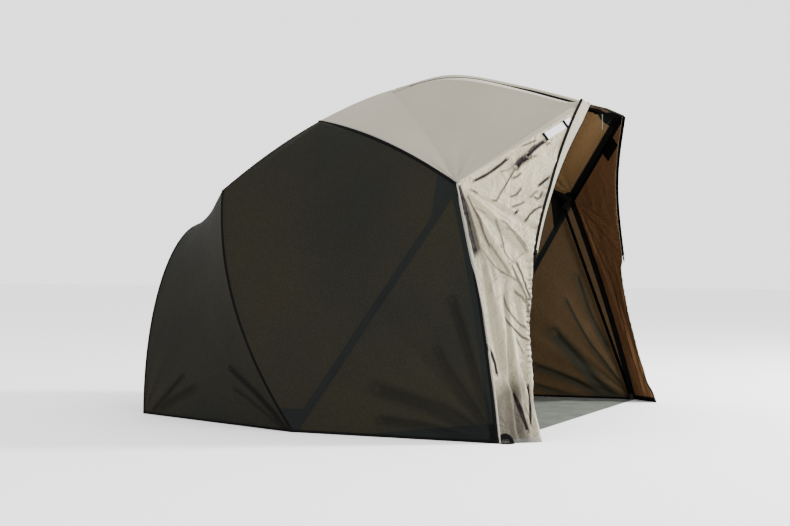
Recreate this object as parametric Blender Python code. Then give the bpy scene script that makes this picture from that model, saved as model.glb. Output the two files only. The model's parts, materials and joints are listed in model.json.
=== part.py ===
"""Oval umbrella shelter for fishing: a six-rib folding frame, a taut canopy with an open front, and a groundsheet.

Metres, +Z up. The open front faces -Y, and the origin is on the ground in the middle of the footprint.
Left is -X and right is +X. Each paired piece is worked out for the right side and mirrored for the left.
"""

import math

import bpy
import numpy as np

# Canopy corners: half widths from the middle plane, distances forward or back of the origin, heights
FRONT_FOOT_HALF = 0.988
FRONT_FOOT_FORWARD = 0.846
DOOR_FOOT_HALF = 0.873
DOOR_FOOT_FORWARD = 0.979
SIDE_FOOT_HALF = 0.943
SIDE_FOOT_BACK = 0.014
FRONT_KNEE_HALF = 0.762
FRONT_KNEE_FORWARD = 0.603
FRONT_KNEE_HEIGHT = 0.964
SIDE_KNEE_HALF = 0.737
SIDE_KNEE_BACK = 0.444
SIDE_KNEE_HEIGHT = 0.960
PEAK_HALF = 0.266
PEAK_FORWARD = 0.978
PEAK_HEIGHT = 1.303
PEAK_MIDDLE_RISE = 0.007
CROWN_BACK = 0.010
CROWN_HEIGHT = 1.426
CREST_FORWARD = 0.288
CREST_HEIGHT = 1.477
BROW_FORWARD = 0.620
BROW_HEIGHT = 1.413
HOOP_HALF = 0.533
HOOP_BACK = 0.955
HOOP_HEIGHT = 0.844

# How far the seams bow from straight lines, and where seams meet along a rib
FRONT_RIB_RISE = 0.030
SIDE_RIB_RISE = 0.049
REAR_RIB_RISE = 0.030
ROOF_SEAM_RISE = 0.036
FRONT_SEAM_FORWARD_BOW = 0.016
SIDE_SEAM_OUTWARD_BOW = 0.030
SIDE_SEAM_BACK_BOW = 0.085
DOOR_EDGE_BOW = 0.137
SHOULDER_SHARE = 0.44
REAR_SEAM_SHARE = 0.33

# Fabric
FABRIC = 0.0009
SEAM_GAP = 0.0007
GROUNDSHEET_THICKNESS = 0.0010
GROUNDSHEET_CLEARANCE = 0.0008
PANEL_STEPS = 8
ROOF_RINGS = 7
DOOR_STEPS = 16
CORNER_SHARE = 0.625
TIP_SHARE = 0.125

# Gap between faces that touch
GAP = 0.0003

# Clearance of the hub's ring wire in the tongues, which takes in the ring's curve
RING_CLEARANCE = 0.0008

# Frame tubes and their hinge ends
TUBE_RADIUS = 0.007
TUBE_SIDES = 8
CROSSBAR_RADIUS = 0.006
TONGUE_THICKNESS = 0.008
TONGUE_HALF_WIDTH = 0.008
TONGUE_OVERHANG = 0.007
TONGUE_REACH = 0.019
TONGUE_NECK = 0.029
PIN_RADIUS = 0.0025
PIN_SIDES = 10
ARM_STEPS = 5
ARM_BEND_SHARE = 0.36
ARM_STUB = 0.020

# Hub
HUB_RADIUS = 0.046
HUB_THICKNESS = 0.034
HUB_DROP = 0.042
HUB_PIN_CIRCLE = 0.038
HUB_CORE_RADIUS = 0.025
HUB_SIDES = 36
HUB_RING_STEPS = 48
HUB_RING_SIDES = 8
HUB_CAP_RADIUS = 0.022
HUB_CAP_TOP_RADIUS = 0.005
HUB_CAP_TOP_DROP = 0.0028

# Knee forks: measured from the hinge pin, along the arm, across it and above it
FORK_HALF_LENGTH = 0.012
FORK_CHEEK = 0.004
FORK_BELOW = 0.010
FORK_CHAMFER = 0.006
KNEE_DROP = 0.021
KNEE_INSET_SIDE = 0.040
KNEE_INSET_DEPTH = 0.028
KNEE_INSET_DOWN = 0.018

# Arches of the arms above their chords, at the hub
FRONT_ARM_ARCH = math.radians(6.0)
SIDE_ARM_ARCH = math.radians(11.5)
REAR_ARM_ARCH = math.radians(6.0)
PEAK_RIB_ARCH = math.radians(26.0)
PEAK_RIB_DIP = math.radians(12.0)

# Knee hinge axes on the right side: turn from +X about Z, and tilt above the ground plane
FRONT_KNEE_TURN = math.radians(39.4)
FRONT_KNEE_TILT = math.radians(9.4)
SIDE_KNEE_TURN = math.radians(111.8)
SIDE_KNEE_TILT = math.radians(-13.5)

# Peak crossbar and its bracket
CROSSBAR_BACK = 0.016
CROSSBAR_DROP = 0.012
CROSSBAR_END_INSET = 0.008
BRACKET_LENGTH = 0.026
BRACKET_HALF_WIDTH = 0.012
BRACKET_HALF_HEIGHT = 0.011
LOOP_WIDTH = 0.012
LOOP_THICKNESS = 0.0012
LOOP_LENGTH = 0.064

# Legs and feet
FOOT_INSET_SIDE = 0.028
FOOT_INSET_DEPTH = 0.008
FOOT_LENGTH = 0.030
FOOT_TOP_RADIUS = 0.011
FOOT_RADIUS = 0.0125

# Rear hoop: half widths and heights of its poles, and the yoke that joins them to the rear arm
HOOP_INSET = 0.016
HOOP_PIN_DROP = 0.026
HOOP_PIN_HALF = 0.014
HOOP_STEPS = 7
YOKE_SETBACK = 0.028
YOKE_HALF_LENGTH = 0.026
YOKE_WALL = 0.004
YOKE_SLOT_ABOVE_PIN = 0.012
YOKE_TOP_ABOVE_PIN = 0.017
YOKE_BELOW_PIN = 0.010
REAR_KNEE_INSET = 0.040

# Door zips, their sliders and the label
ZIP_WIDTH = 0.010
ZIP_THICKNESS = 0.0016
ZIP_END_SHARE = 0.50
SLIDER_WIDTH = 0.012
SLIDER_LENGTH = 0.016
SLIDER_THICKNESS = 0.005
TAB_WIDTH = 0.005
TAB_LENGTH = 0.034
TAB_THICKNESS = 0.0016
LABEL_START_SHARE = 0.67
LABEL_END_SHARE = 0.91
LABEL_TOP_SHARE = 0.012
LABEL_FOOT_SHARE = 0.032
LABEL_THICKNESS = 0.0006

# Half-moon tabs at the foot of the canopy
PEG_TAB_RADIUS = 0.030
PEG_TAB_THICKNESS = 0.0015
PEG_TAB_FROM_CORNER = 0.036
PEG_TAB_STEPS = 8

# How far a cutter runs past what it cuts
OVERRUN = 0.004

UP = np.array([0.0, 0.0, 1.0])
LEFT_SHARE = -1.0
RIGHT_SHARE = 1.0
SIDES = (("left", LEFT_SHARE), ("right", RIGHT_SHARE))


def vec(x, y, z):
    """One point or direction."""
    return np.array([x, y, z], dtype=float)


def unit(v):
    """The direction of v."""
    return v / np.linalg.norm(v)


def square_to(v, axis):
    """The direction of v once its part along a unit axis is taken out."""
    return unit(v - np.dot(v, axis) * axis)


def on_side(points, side):
    """Points worked out for the right side, or their mirror image on the left."""
    placed = np.array(points, dtype=float)
    placed[..., 0] *= side
    return placed


def direction(turn, tilt):
    """A unit vector from its turn about Z and its tilt above the ground."""
    return vec(math.cos(tilt) * math.cos(turn), math.cos(tilt) * math.sin(turn), math.sin(tilt))


def straight(a, b):
    """A straight edge as a function of its share."""
    return lambda t: a + (b - a) * t


def bowed(a, b, bow):
    """An edge from a to b whose middle stands off the chord by the vector bow."""
    return lambda t: a + (b - a) * t + 4 * t * (1 - t) * bow


def cornered(a, corner, b):
    """Two straight edges as one, with its corner at a share that falls on a panel's step."""
    return lambda t: a + (corner - a) * min(t / CORNER_SHARE, 1) + (b - corner) * max(t - CORNER_SHARE, 0) / (
        1 - CORNER_SHARE
    )


def part_of(edge, start, end):
    """The stretch of an edge between two of its shares."""
    return lambda t: edge(start + (end - start) * t)


def through(points):
    """A smooth edge through points, evenly shared between them."""
    ends = [2 * points[0] - points[1], *points, 2 * points[-1] - points[-2]]
    spans = len(points[1:])

    def edge(t):
        i = min(int(t * spans), len(points[2:]))
        s = t * spans - i
        a, b, c, d = ends[i : i + 4]
        return 0.5 * (2 * b + (c - a) * s + (2 * a - 5 * b + 4 * c - d) * s**2 + (3 * b - a - 3 * c + d) * s**3)

    return edge


def bezier(a, start_way, end_way, b, share):
    """An edge that leaves a along start_way and reaches b along end_way."""
    reach = share * np.linalg.norm(b - a)
    p, q = a + start_way * reach, b - end_way * reach
    return lambda t: (1 - t) ** 3 * a + 3 * (1 - t) ** 2 * t * p + 3 * (1 - t) * t**2 * q + t**3 * b


def patch(foot, head, left, right):
    """The sheet spanned by four edges: foot and head run left to right, left and right run foot to head."""
    corners = foot(0.0), foot(1.0), head(0.0), head(1.0)

    def point(u, v):
        ruled = (1 - v) * foot(u) + v * head(u) + (1 - u) * left(v) + u * right(v)
        lower = (1 - u) * corners[0] + u * corners[1]
        upper = (1 - u) * corners[2] + u * corners[3]
        return ruled - (1 - v) * lower - v * upper

    return point


def grid_of(point, columns, rows):
    """The patch sampled at shares: one row of points for each v."""
    return np.array([[point(u, v) for u in columns] for v in rows])


def shares(count, start=0.0, end=1.0):
    """Evenly spaced shares."""
    return np.linspace(start, end, count + 1)


def trimmed(grid, gap):
    """The grid with its four borders drawn in by a gap."""
    out = grid.copy()
    for rows, inner in ((0, 1), (-1, -2)):
        step = grid[inner] - grid[rows]
        out[rows] += step * (gap / np.linalg.norm(step, axis=1))[:, None]
    for columns, inner in ((0, 1), (-1, -2)):
        step = out[:, inner] - out[:, columns]
        out[:, columns] += step * (gap / np.linalg.norm(step, axis=1))[:, None]
    return out


def grid_normals(grid, inside):
    """Unit normals at the grid's points, away from a point inside the shelter."""
    normals = np.cross(np.gradient(grid, axis=1), np.gradient(grid, axis=0))
    normals /= np.linalg.norm(normals, axis=2)[:, :, None]
    outward = np.sum(normals * (grid - inside)) > 0
    return normals if outward else -normals


def shell(inner, outer, triangles, rim):
    """A closed sheet between two like faces, with a wall round the rim."""
    count = len(inner)
    faces = []
    for a, b, c in triangles:
        faces += [(a, b, c), (count + c, count + b, count + a)]
    for a, b in zip(rim, rim[1:] + rim[:1]):
        faces.append((b, a, count + a, count + b))
    return facing_out(np.vstack([inner, outer]), faces)


def sheet(grid, thickness, inside, lift=0.0):
    """A closed sheet over a grid: its inner face lifted off the grid, its outer face a thickness further out."""
    rows, columns = grid.shape[:2]
    normals = grid_normals(grid, inside)
    inner = (grid + normals * lift).reshape(-1, 3)
    outer = (grid + normals * (lift + thickness)).reshape(-1, 3)
    at = lambda r, c: r * columns + c
    triangles = []
    for r in range(rows - 1):
        for c in range(columns - 1):
            triangles.append((at(r, c), at(r, c + 1), at(r + 1, c + 1)))
            triangles.append((at(r, c), at(r + 1, c + 1), at(r + 1, c)))
    rim = [at(0, c) for c in range(columns)]
    rim += [at(r, columns - 1) for r in range(1, rows)]
    rim += [at(rows - 1, c) for c in range(columns - 2, -1, -1)]
    rim += [at(r, 0) for r in range(rows - 2, 0, -1)]
    return shell(inner, outer, triangles, rim)


def round_sheet(apex, rays, thickness):
    """A closed sheet round an apex: rays go round it, each a row of points outwards."""
    count, steps = rays.shape[:2]
    round_way = np.roll(rays, -1, axis=0) - np.roll(rays, 1, axis=0)
    normals = np.cross(round_way, np.gradient(rays, axis=1))
    normals /= np.linalg.norm(normals, axis=2)[:, :, None]
    normals *= np.sign(normals[:, :, 2:])
    at = lambda ray, step: 1 + ray % count * steps + step
    triangles = []
    for ray in range(count):
        triangles.append((0, at(ray, 0), at(ray + 1, 0)))
        for step in range(steps - 1):
            triangles.append((at(ray, step), at(ray, step + 1), at(ray + 1, step + 1)))
            triangles.append((at(ray, step), at(ray + 1, step + 1), at(ray + 1, step)))
    inner = np.vstack([apex, rays.reshape(-1, 3)])
    outer = np.vstack([apex + UP * thickness, (rays + normals * thickness).reshape(-1, 3)])
    return shell(inner, outer, triangles, [at(ray, steps - 1) for ray in range(count)])


def facing_out(points, faces):
    """The solid with its faces outwards."""
    volume = 0.0
    for face in faces:
        a = points[face[0]]
        for i, j in zip(face[1:], face[2:]):
            volume += np.dot(a, np.cross(points[i], points[j]))
    return points, faces if volume > 0 else [tuple(reversed(face)) for face in faces]


def loft(rings):
    """A closed solid through rings of equal counts, with flat ends."""
    count = len(rings[0])
    faces = [tuple(range(count - 1, -1, -1))]
    for k in range(len(rings) - 1):
        for i in range(count):
            j = (i + 1) % count
            faces.append((k * count + i, k * count + j, (k + 1) * count + j, (k + 1) * count + i))
    faces.append(tuple((len(rings) - 1) * count + i for i in range(count)))
    return facing_out(np.vstack(rings), faces)


def ring(centre, across, along, half_across, half_along, sides):
    """Points round an ellipse."""
    turns = 2 * math.pi * np.arange(sides)[:, None] / sides
    return centre + half_across * np.cos(turns) * across + half_along * np.sin(turns) * along


def tube(path, axis, flat_rings=0, radius=TUBE_RADIUS):
    """A tube along a path. Its first rings are pressed flat across the hinge axis, as a tongue."""
    path = np.array(path)
    ways = np.gradient(path, axis=0)
    ways[0], ways[-1] = path[1] - path[0], path[-1] - path[-2]
    rings = []
    for k, (centre, way) in enumerate(zip(path, ways)):
        across = square_to(axis, unit(way))
        along = np.cross(unit(way), across)
        flat = k < flat_rings
        half_across = TONGUE_THICKNESS / 2 if flat else radius
        half_along = TONGUE_HALF_WIDTH if flat else radius
        rings.append(ring(centre, across, along, half_across, half_along, TUBE_SIDES))
    return loft(rings)


def rod(centre, axis, radius, length, sides, end_radius=None):
    """A round bar about its centre, or a taper where the end radius differs."""
    end_radius = radius if end_radius is None else end_radius
    across = square_to(UP if abs(axis[2]) < 0.9 else vec(1, 0, 0), axis)
    along = np.cross(axis, across)
    low = ring(centre - axis * length / 2, across, along, radius, radius, sides)
    high = ring(centre + axis * length / 2, across, along, end_radius, end_radius, sides)
    return loft([low, high])


def prism(centre, ahead, axis, above, outline, half_thickness):
    """An outline in the plane of two directions, with a thickness each way along the axis."""
    flat = np.array([centre + ahead * a + above * b for a, b in outline])
    return loft([flat - axis * half_thickness, flat + axis * half_thickness])


def box(low, high):
    """An upright box between two corners."""
    outline = [(low[0], low[1]), (high[0], low[1]), (high[0], high[1]), (low[0], high[1])]
    corners = np.array([(x, y, 0.0) for x, y in outline])
    return loft([corners + UP * low[2], corners + UP * high[2]])


def joined(solids):
    """Separate solids as one mesh."""
    vertices, faces, first = [], [], 0
    for points, rounds in solids:
        vertices.append(points)
        faces += [tuple(first + i for i in face) for face in rounds]
        first += len(points)
    return np.vstack(vertices), faces


def material(name, colour, roughness, metallic=0.0):
    """A plain material."""
    made = bpy.data.materials.new(name)
    made.use_nodes = True
    shader = made.node_tree.nodes["Principled BSDF"]
    shader.inputs["Base Color"].default_value = (*colour, 1.0)
    shader.inputs["Roughness"].default_value = roughness
    shader.inputs["Metallic"].default_value = metallic
    return made


class Assembly:
    """Empties on the joint axes, and the solids that hang from them."""

    def __init__(self):
        self.origins = {}
        self.empties = {}

    def body(self, name, origin, parent=None):
        """An empty at a joint's place, under its parent's."""
        empty = bpy.data.objects.new("at_" + name, None)
        bpy.context.collection.objects.link(empty)
        empty.parent = self.empties.get(parent)
        empty.location = origin - (self.origins[parent] if parent else vec(0, 0, 0))
        self.origins[name] = origin
        self.empties[name] = empty

    def shape(self, name, solid, body, finish, side=RIGHT_SHARE):
        """An object in its body's place, mirrored where side is -1."""
        points, faces = solid
        points = on_side(points, side) - self.origins[body]
        if side < 0:
            faces = [tuple(reversed(face)) for face in faces]
        mesh = bpy.data.meshes.new(name)
        mesh.from_pydata(points.tolist(), [], faces)
        mesh.shade_smooth()
        mesh.set_sharp_from_angle(angle=math.radians(35))
        made = bpy.data.objects.new(name, mesh)
        made.data.materials.append(finish)
        made.parent = self.empties[body]
        bpy.context.collection.objects.link(made)
        return made

    def add(self, name, solid, body, finish, side=RIGHT_SHARE, cut=(), join=()):
        """A sub-part, with the solids that are cut from it or joined to it."""
        made = self.shape(name, solid, body, finish, side)
        for how, solids in (("UNION", join), ("DIFFERENCE", cut)):
            for count, other in enumerate(solids):
                guide = self.shape(f"{name}_{how.lower()}_{count}", other, body, finish, side)
                guide.hide_render = True
                guide.display_type = "WIRE"
                change = made.modifiers.new(guide.name, "BOOLEAN")
                change.operation = how
                change.object = guide
        return made


def mirror_axis(axis, side):
    """A hinge axis as its mirror image turns."""
    return axis if side > 0 else -on_side(axis, side)


# Canopy corners on the right side
CROWN = vec(0, CROWN_BACK, CROWN_HEIGHT)
CREST = vec(0, -CREST_FORWARD, CREST_HEIGHT)
BROW = vec(0, -BROW_FORWARD, BROW_HEIGHT)
PEAK_MIDDLE = vec(0, -PEAK_FORWARD, PEAK_HEIGHT + PEAK_MIDDLE_RISE)
PEAK_CORNER = vec(PEAK_HALF, -PEAK_FORWARD, PEAK_HEIGHT)
FRONT_KNEE = vec(FRONT_KNEE_HALF, -FRONT_KNEE_FORWARD, FRONT_KNEE_HEIGHT)
SIDE_KNEE = vec(SIDE_KNEE_HALF, SIDE_KNEE_BACK, SIDE_KNEE_HEIGHT)
FRONT_FOOT = vec(FRONT_FOOT_HALF, -FRONT_FOOT_FORWARD, 0)
DOOR_FOOT = vec(DOOR_FOOT_HALF, -DOOR_FOOT_FORWARD, 0)
SIDE_FOOT = vec(SIDE_FOOT_HALF, SIDE_FOOT_BACK, 0)
HOOP_FOOT = vec(HOOP_HALF, HOOP_BACK, 0)
HOOP_TOP = vec(0, HOOP_BACK, HOOP_HEIGHT)
INSIDE = vec(0, CROWN_BACK, SIDE_KNEE_HEIGHT / 2)


def hoop_curve(half, height, back):
    """A quarter of an ellipse, from the hoop's top to its right foot."""
    turn = math.pi / 2
    return lambda t: vec(half * math.sin(turn * t), back, height * math.cos(turn * t))


# Seams on the right side
RIDGE = through([CROWN, CREST, BROW, PEAK_MIDDLE])
FRONT_RIB = bowed(CROWN, FRONT_KNEE, UP * FRONT_RIB_RISE)
SIDE_RIB = bowed(CROWN, SIDE_KNEE, UP * SIDE_RIB_RISE)
REAR_RIB = bowed(CROWN, HOOP_TOP, UP * REAR_RIB_RISE)
SHOULDER = SIDE_RIB(SHOULDER_SHARE)
REAR_SEAM = REAR_RIB(REAR_SEAM_SHARE)
ROOF_SEAM = bowed(SHOULDER, FRONT_KNEE, UP * ROOF_SEAM_RISE)
FRONT_SEAM = bowed(FRONT_KNEE, FRONT_FOOT, vec(0, -FRONT_SEAM_FORWARD_BOW, 0))
SIDE_SEAM = bowed(SIDE_KNEE, SIDE_FOOT, vec(SIDE_SEAM_OUTWARD_BOW, SIDE_SEAM_BACK_BOW, 0))
HOOP = hoop_curve(HOOP_HALF, HOOP_HEIGHT, HOOP_BACK)


class DoorEdge:
    """The arc along which the right front panel ends, in the plane of that panel."""

    def __init__(self):
        span = DOOR_FOOT - PEAK_CORNER
        chord = np.linalg.norm(span)
        self.normal = unit(np.cross(FRONT_FOOT - FRONT_KNEE, PEAK_CORNER - FRONT_KNEE))
        if np.dot(self.normal, FRONT_KNEE - INSIDE) < 0:
            self.normal = -self.normal
        away = square_to(np.cross(span, self.normal), self.normal)
        if np.dot(away, FRONT_KNEE - PEAK_CORNER) < 0:
            away = -away
        self.radius = chord**2 / (8 * DOOR_EDGE_BOW) + DOOR_EDGE_BOW / 2
        middle = (PEAK_CORNER + DOOR_FOOT) / 2
        self.centre = middle + away * (DOOR_EDGE_BOW - self.radius)
        self.half_turn = math.asin(chord / 2 / self.radius)
        self.away = away
        self.down = unit(span)

    def outward(self, share):
        """From the arc's centre towards its point at a share."""
        turn = self.half_turn * (2 * share - 1)
        return self.away * math.cos(turn) + self.down * math.sin(turn)

    def point(self, share, inset=0.0):
        """A point of the arc, or inset towards the doorway."""
        return self.centre + self.outward(share) * (self.radius - inset)

    def along(self, share):
        """The way down along the arc."""
        return np.cross(self.axis_down(), self.outward(share))

    def axis_down(self):
        """The normal, turned so that a positive turn moves down the arc."""
        return self.normal if np.dot(np.cross(self.normal, self.away), self.down) > 0 else -self.normal


DOOR_EDGE = DoorEdge()
FRONT_PANEL = patch(
    straight(FRONT_KNEE, PEAK_CORNER), straight(FRONT_FOOT, DOOR_FOOT), FRONT_SEAM, DOOR_EDGE.point
)

# Hinges on the right side
HUB_CENTRE = CROWN - UP * HUB_DROP
SLOT_WIDTH = TONGUE_THICKNESS + 2 * GAP
PIN_LENGTH = SLOT_WIDTH - 2 * GAP


class Arm:
    """The path of an arm from its hub pin to where it meets its fork."""

    def __init__(self, end, arch, end_axis, end_dip=None):
        self.ahead = unit((end - HUB_CENTRE) * vec(1, 1, 0))
        self.axis = np.cross(self.ahead, UP)
        self.pin = HUB_CENTRE + self.ahead * HUB_PIN_CIRCLE
        chord = end - self.pin
        slope = math.atan2(chord[2], np.dot(chord, self.ahead))
        self.start_way = self.ahead * math.cos(slope + arch) + UP * math.sin(slope + arch)
        end_slope = slope - arch if end_dip is None else -end_dip
        dipped = self.ahead * math.cos(end_slope) + UP * math.sin(end_slope)
        self.end_way = square_to(dipped, end_axis)
        neck = self.pin + self.start_way * TONGUE_NECK
        bend = bezier(neck, self.start_way, self.end_way, end - self.end_way * ARM_STUB, ARM_BEND_SHARE)
        tongue = [self.pin - self.start_way * TONGUE_OVERHANG, self.pin + self.start_way * TONGUE_REACH]
        self.path = [*tongue, *[bend(t) for t in shares(ARM_STEPS)], end]
        self.end = end


class Knee:
    """The hinge frame at an arm's outer end: ahead along the arm, above it, and the pin's axis."""

    def __init__(self, arm, axis):
        self.axis = axis
        self.ahead = arm.end_way
        self.above = np.cross(self.ahead, axis)
        self.pin = arm.end + self.ahead * (FORK_HALF_LENGTH + GAP) - self.above * KNEE_DROP


def inset_knee(corner):
    """Where an arm ends, inside a corner of the canopy."""
    back = -math.copysign(KNEE_INSET_DEPTH, corner[1])
    return corner + vec(-KNEE_INSET_SIDE, back, -KNEE_INSET_DOWN)


def inset_foot(corner):
    """Where a leg stands, inside a corner of the canopy."""
    back = -math.copysign(FOOT_INSET_DEPTH, corner[1])
    return corner + vec(-FOOT_INSET_SIDE, back, 0)


FRONT_AXIS = direction(FRONT_KNEE_TURN, FRONT_KNEE_TILT)
SIDE_AXIS = direction(SIDE_KNEE_TURN, SIDE_KNEE_TILT)
REAR_AXIS = vec(-1, 0, 0)
HOOP_PIN_HEIGHT = HOOP_HEIGHT - HOOP_PIN_DROP
HOOP_PLANE = HOOP_BACK - HOOP_INSET
REAR_ARM_END = vec(0, HOOP_PLANE - REAR_KNEE_INSET, HOOP_PIN_HEIGHT + KNEE_DROP / 2)
CROSSBAR_CENTRE = PEAK_MIDDLE + vec(0, CROSSBAR_BACK, -CROSSBAR_DROP - PEAK_MIDDLE_RISE)
DIPPED = vec(0, -math.cos(PEAK_RIB_DIP), -math.sin(PEAK_RIB_DIP))
BRACKET_FRONT = CROSSBAR_CENTRE - DIPPED * (CROSSBAR_RADIUS + GAP)
PEAK_RIB_END = BRACKET_FRONT - DIPPED * (BRACKET_LENGTH + GAP)

FRONT_ARM = Arm(inset_knee(FRONT_KNEE), FRONT_ARM_ARCH, FRONT_AXIS)
SIDE_ARM = Arm(inset_knee(SIDE_KNEE), SIDE_ARM_ARCH, SIDE_AXIS)
REAR_ARM = Arm(REAR_ARM_END, REAR_ARM_ARCH, REAR_AXIS)
PEAK_RIB = Arm(PEAK_RIB_END, PEAK_RIB_ARCH, vec(1, 0, 0), PEAK_RIB_DIP)
FRONT_HINGE = Knee(FRONT_ARM, FRONT_AXIS)
SIDE_HINGE = Knee(SIDE_ARM, SIDE_AXIS)
REAR_HINGE = Knee(REAR_ARM, REAR_AXIS)
HOOP_PIN = vec(HOOP_PIN_HALF, HOOP_PLANE, HOOP_PIN_HEIGHT)
HOOP_AXIS = vec(0, 1, 0)
FOOT_HEIGHT = GROUNDSHEET_THICKNESS + GAP


def fork(knee):
    """A block with two cheeks, and the cutter that opens it in front and below."""
    half, chamfer, top = FORK_HALF_LENGTH, FORK_CHAMFER, KNEE_DROP + TUBE_RADIUS + GAP
    outline = [
        (-half, -FORK_BELOW + chamfer),
        (-half + chamfer, -FORK_BELOW),
        (half - chamfer, -FORK_BELOW),
        (half, -FORK_BELOW + chamfer),
        (half, top - chamfer),
        (half - chamfer, top),
        (-half, top),
    ]
    web = KNEE_DROP - TUBE_RADIUS - GAP
    low, far = -FORK_BELOW - OVERRUN, half + OVERRUN
    opening = [(-far, low), (far, low), (far, top + OVERRUN), (0.0, top + OVERRUN), (0.0, web), (-far, web)]
    frame = knee.pin, knee.ahead, knee.axis, knee.above
    return prism(*frame, outline, SLOT_WIDTH / 2 + FORK_CHEEK), prism(*frame, opening, SLOT_WIDTH / 2)


def pin(centre, axis):
    """A hinge pin between two cheeks."""
    return rod(centre, axis, PIN_RADIUS, PIN_LENGTH, PIN_SIDES)


def pin_hole(centre, axis, clearance=GAP):
    """The cutter for a tongue's hole."""
    return rod(centre, axis, PIN_RADIUS + clearance, PIN_LENGTH + 2 * OVERRUN, PIN_SIDES)


def ring_hole(arm):
    """The cutter for an arm's hole at the hub."""
    return pin_hole(arm.pin, arm.axis, RING_CLEARANCE)


def foot_between(end, way):
    """A foot that carries on along a leg and ends flat on the ground patch."""
    across = square_to(vec(1, 0, 0), way)
    start = end + way * GAP
    top = ring(start, across, np.cross(way, across), FOOT_TOP_RADIUS, FOOT_TOP_RADIUS, TUBE_SIDES + 2)
    sole = start + way * ((start[2] - FOOT_HEIGHT) / -way[2])
    turned = vec(0, math.copysign(1.0, np.cross(way, across)[1]), 0)
    base = ring(sole, vec(1, 0, 0), turned, FOOT_RADIUS, FOOT_RADIUS, TUBE_SIDES + 2)
    return loft([top, base])


def leg_and_foot(hinge_pin, axis, ground):
    """A straight leg from its knee to the ground, and its foot."""
    sole = vec(ground[0], ground[1], FOOT_HEIGHT)
    start_way = square_to(sole - hinge_pin, axis)
    neck = hinge_pin + start_way * TONGUE_NECK
    way = unit(sole - neck)
    end = sole - way * FOOT_LENGTH
    tongue = [hinge_pin - start_way * TONGUE_OVERHANG, hinge_pin + start_way * TONGUE_REACH]
    middle = (neck + end) / 2
    leg = tube([*tongue, neck, middle, end], axis, flat_rings=2)
    return leg, foot_between(end, way)


def hoop_leg_and_foot():
    """A curved hoop pole from its yoke pin to the ground, and its foot."""
    curve = hoop_curve(HOOP_HALF - HOOP_INSET, HOOP_PIN_HEIGHT, HOOP_PLANE)
    first = math.asin((HOOP_PIN_HALF + TONGUE_NECK) / (HOOP_HALF - HOOP_INSET)) / (math.pi / 2)
    last = math.acos((FOOT_HEIGHT + FOOT_LENGTH) / HOOP_PIN_HEIGHT) / (math.pi / 2)
    tongue = [HOOP_PIN - vec(TONGUE_OVERHANG, 0, 0), HOOP_PIN + vec(TONGUE_REACH, 0, 0)]
    bends = [curve(t) for t in shares(HOOP_STEPS, first, last)]
    leg = tube([*tongue, *bends], HOOP_AXIS, flat_rings=2)
    way = unit(bends[-1] - bends[-2])
    return leg, foot_between(bends[-1], way)


def yoke():
    """The block that hangs from the rear fork and holds both hoop poles, its cutter and its tongue."""
    half_depth = SLOT_WIDTH / 2 + YOKE_WALL
    low = vec(-YOKE_HALF_LENGTH, HOOP_PLANE - half_depth, HOOP_PIN_HEIGHT - YOKE_BELOW_PIN)
    high = vec(YOKE_HALF_LENGTH, HOOP_PLANE + half_depth, HOOP_PIN_HEIGHT + YOKE_TOP_ABOVE_PIN)
    slot_low = vec(-YOKE_HALF_LENGTH - OVERRUN, HOOP_PLANE - SLOT_WIDTH / 2, low[2] - OVERRUN)
    slot_high = vec(YOKE_HALF_LENGTH + OVERRUN, HOOP_PLANE + SLOT_WIDTH / 2, HOOP_PIN_HEIGHT + YOKE_SLOT_ABOVE_PIN)
    seat = vec(0, HOOP_PLANE - half_depth + YOKE_WALL / 2, REAR_HINGE.pin[2])
    way = unit(seat - REAR_HINGE.pin)
    tongue = [
        (-TONGUE_OVERHANG, -TONGUE_HALF_WIDTH),
        (np.linalg.norm(seat - REAR_HINGE.pin), -TONGUE_HALF_WIDTH),
        (np.linalg.norm(seat - REAR_HINGE.pin), TONGUE_HALF_WIDTH),
        (-TONGUE_OVERHANG, TONGUE_HALF_WIDTH),
    ]
    arm = prism(REAR_HINGE.pin, way, vec(1, 0, 0), np.cross(way, vec(-1, 0, 0)), tongue, TONGUE_THICKNESS / 2)
    return box(low, high), box(slot_low, slot_high), arm


def hub_spokes():
    """The way out of the hub to each arm."""
    ways = [PEAK_RIB.ahead, REAR_ARM.ahead]
    for _, side in SIDES:
        ways += [on_side(FRONT_ARM.ahead, side), on_side(SIDE_ARM.ahead, side)]
    return ways


def hub_slots():
    """Radial cutters, one for each arm."""
    far, tall = HUB_RADIUS + OVERRUN, HUB_THICKNESS
    outline = [(HUB_CORE_RADIUS, -tall), (far, -tall), (far, tall), (HUB_CORE_RADIUS, tall)]
    return joined([prism(HUB_CENTRE, way, np.cross(way, UP), UP, outline, SLOT_WIDTH / 2) for way in hub_spokes()])


def hub_ring(radius):
    """The ring wire that threads the arms' tongues round the hub."""
    points, faces = [], []
    for k in range(HUB_RING_STEPS):
        turn = 2 * math.pi * k / HUB_RING_STEPS
        way = vec(math.cos(turn), math.sin(turn), 0)
        points.append(ring(HUB_CENTRE + way * HUB_PIN_CIRCLE, way, UP, radius, radius, HUB_RING_SIDES))
        low, high = k * HUB_RING_SIDES, (k + 1) % HUB_RING_STEPS * HUB_RING_SIDES
        for i in range(HUB_RING_SIDES):
            j = (i + 1) % HUB_RING_SIDES
            faces.append((low + i, low + j, high + j, high + i))
    return facing_out(np.vstack(points), faces)


def mirrored_half(half):
    """A grid whose first column lies on the middle plane, carried on to the left side."""
    return np.concatenate([on_side(half, LEFT_SHARE)[:, :0:-1], half], axis=1)


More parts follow.
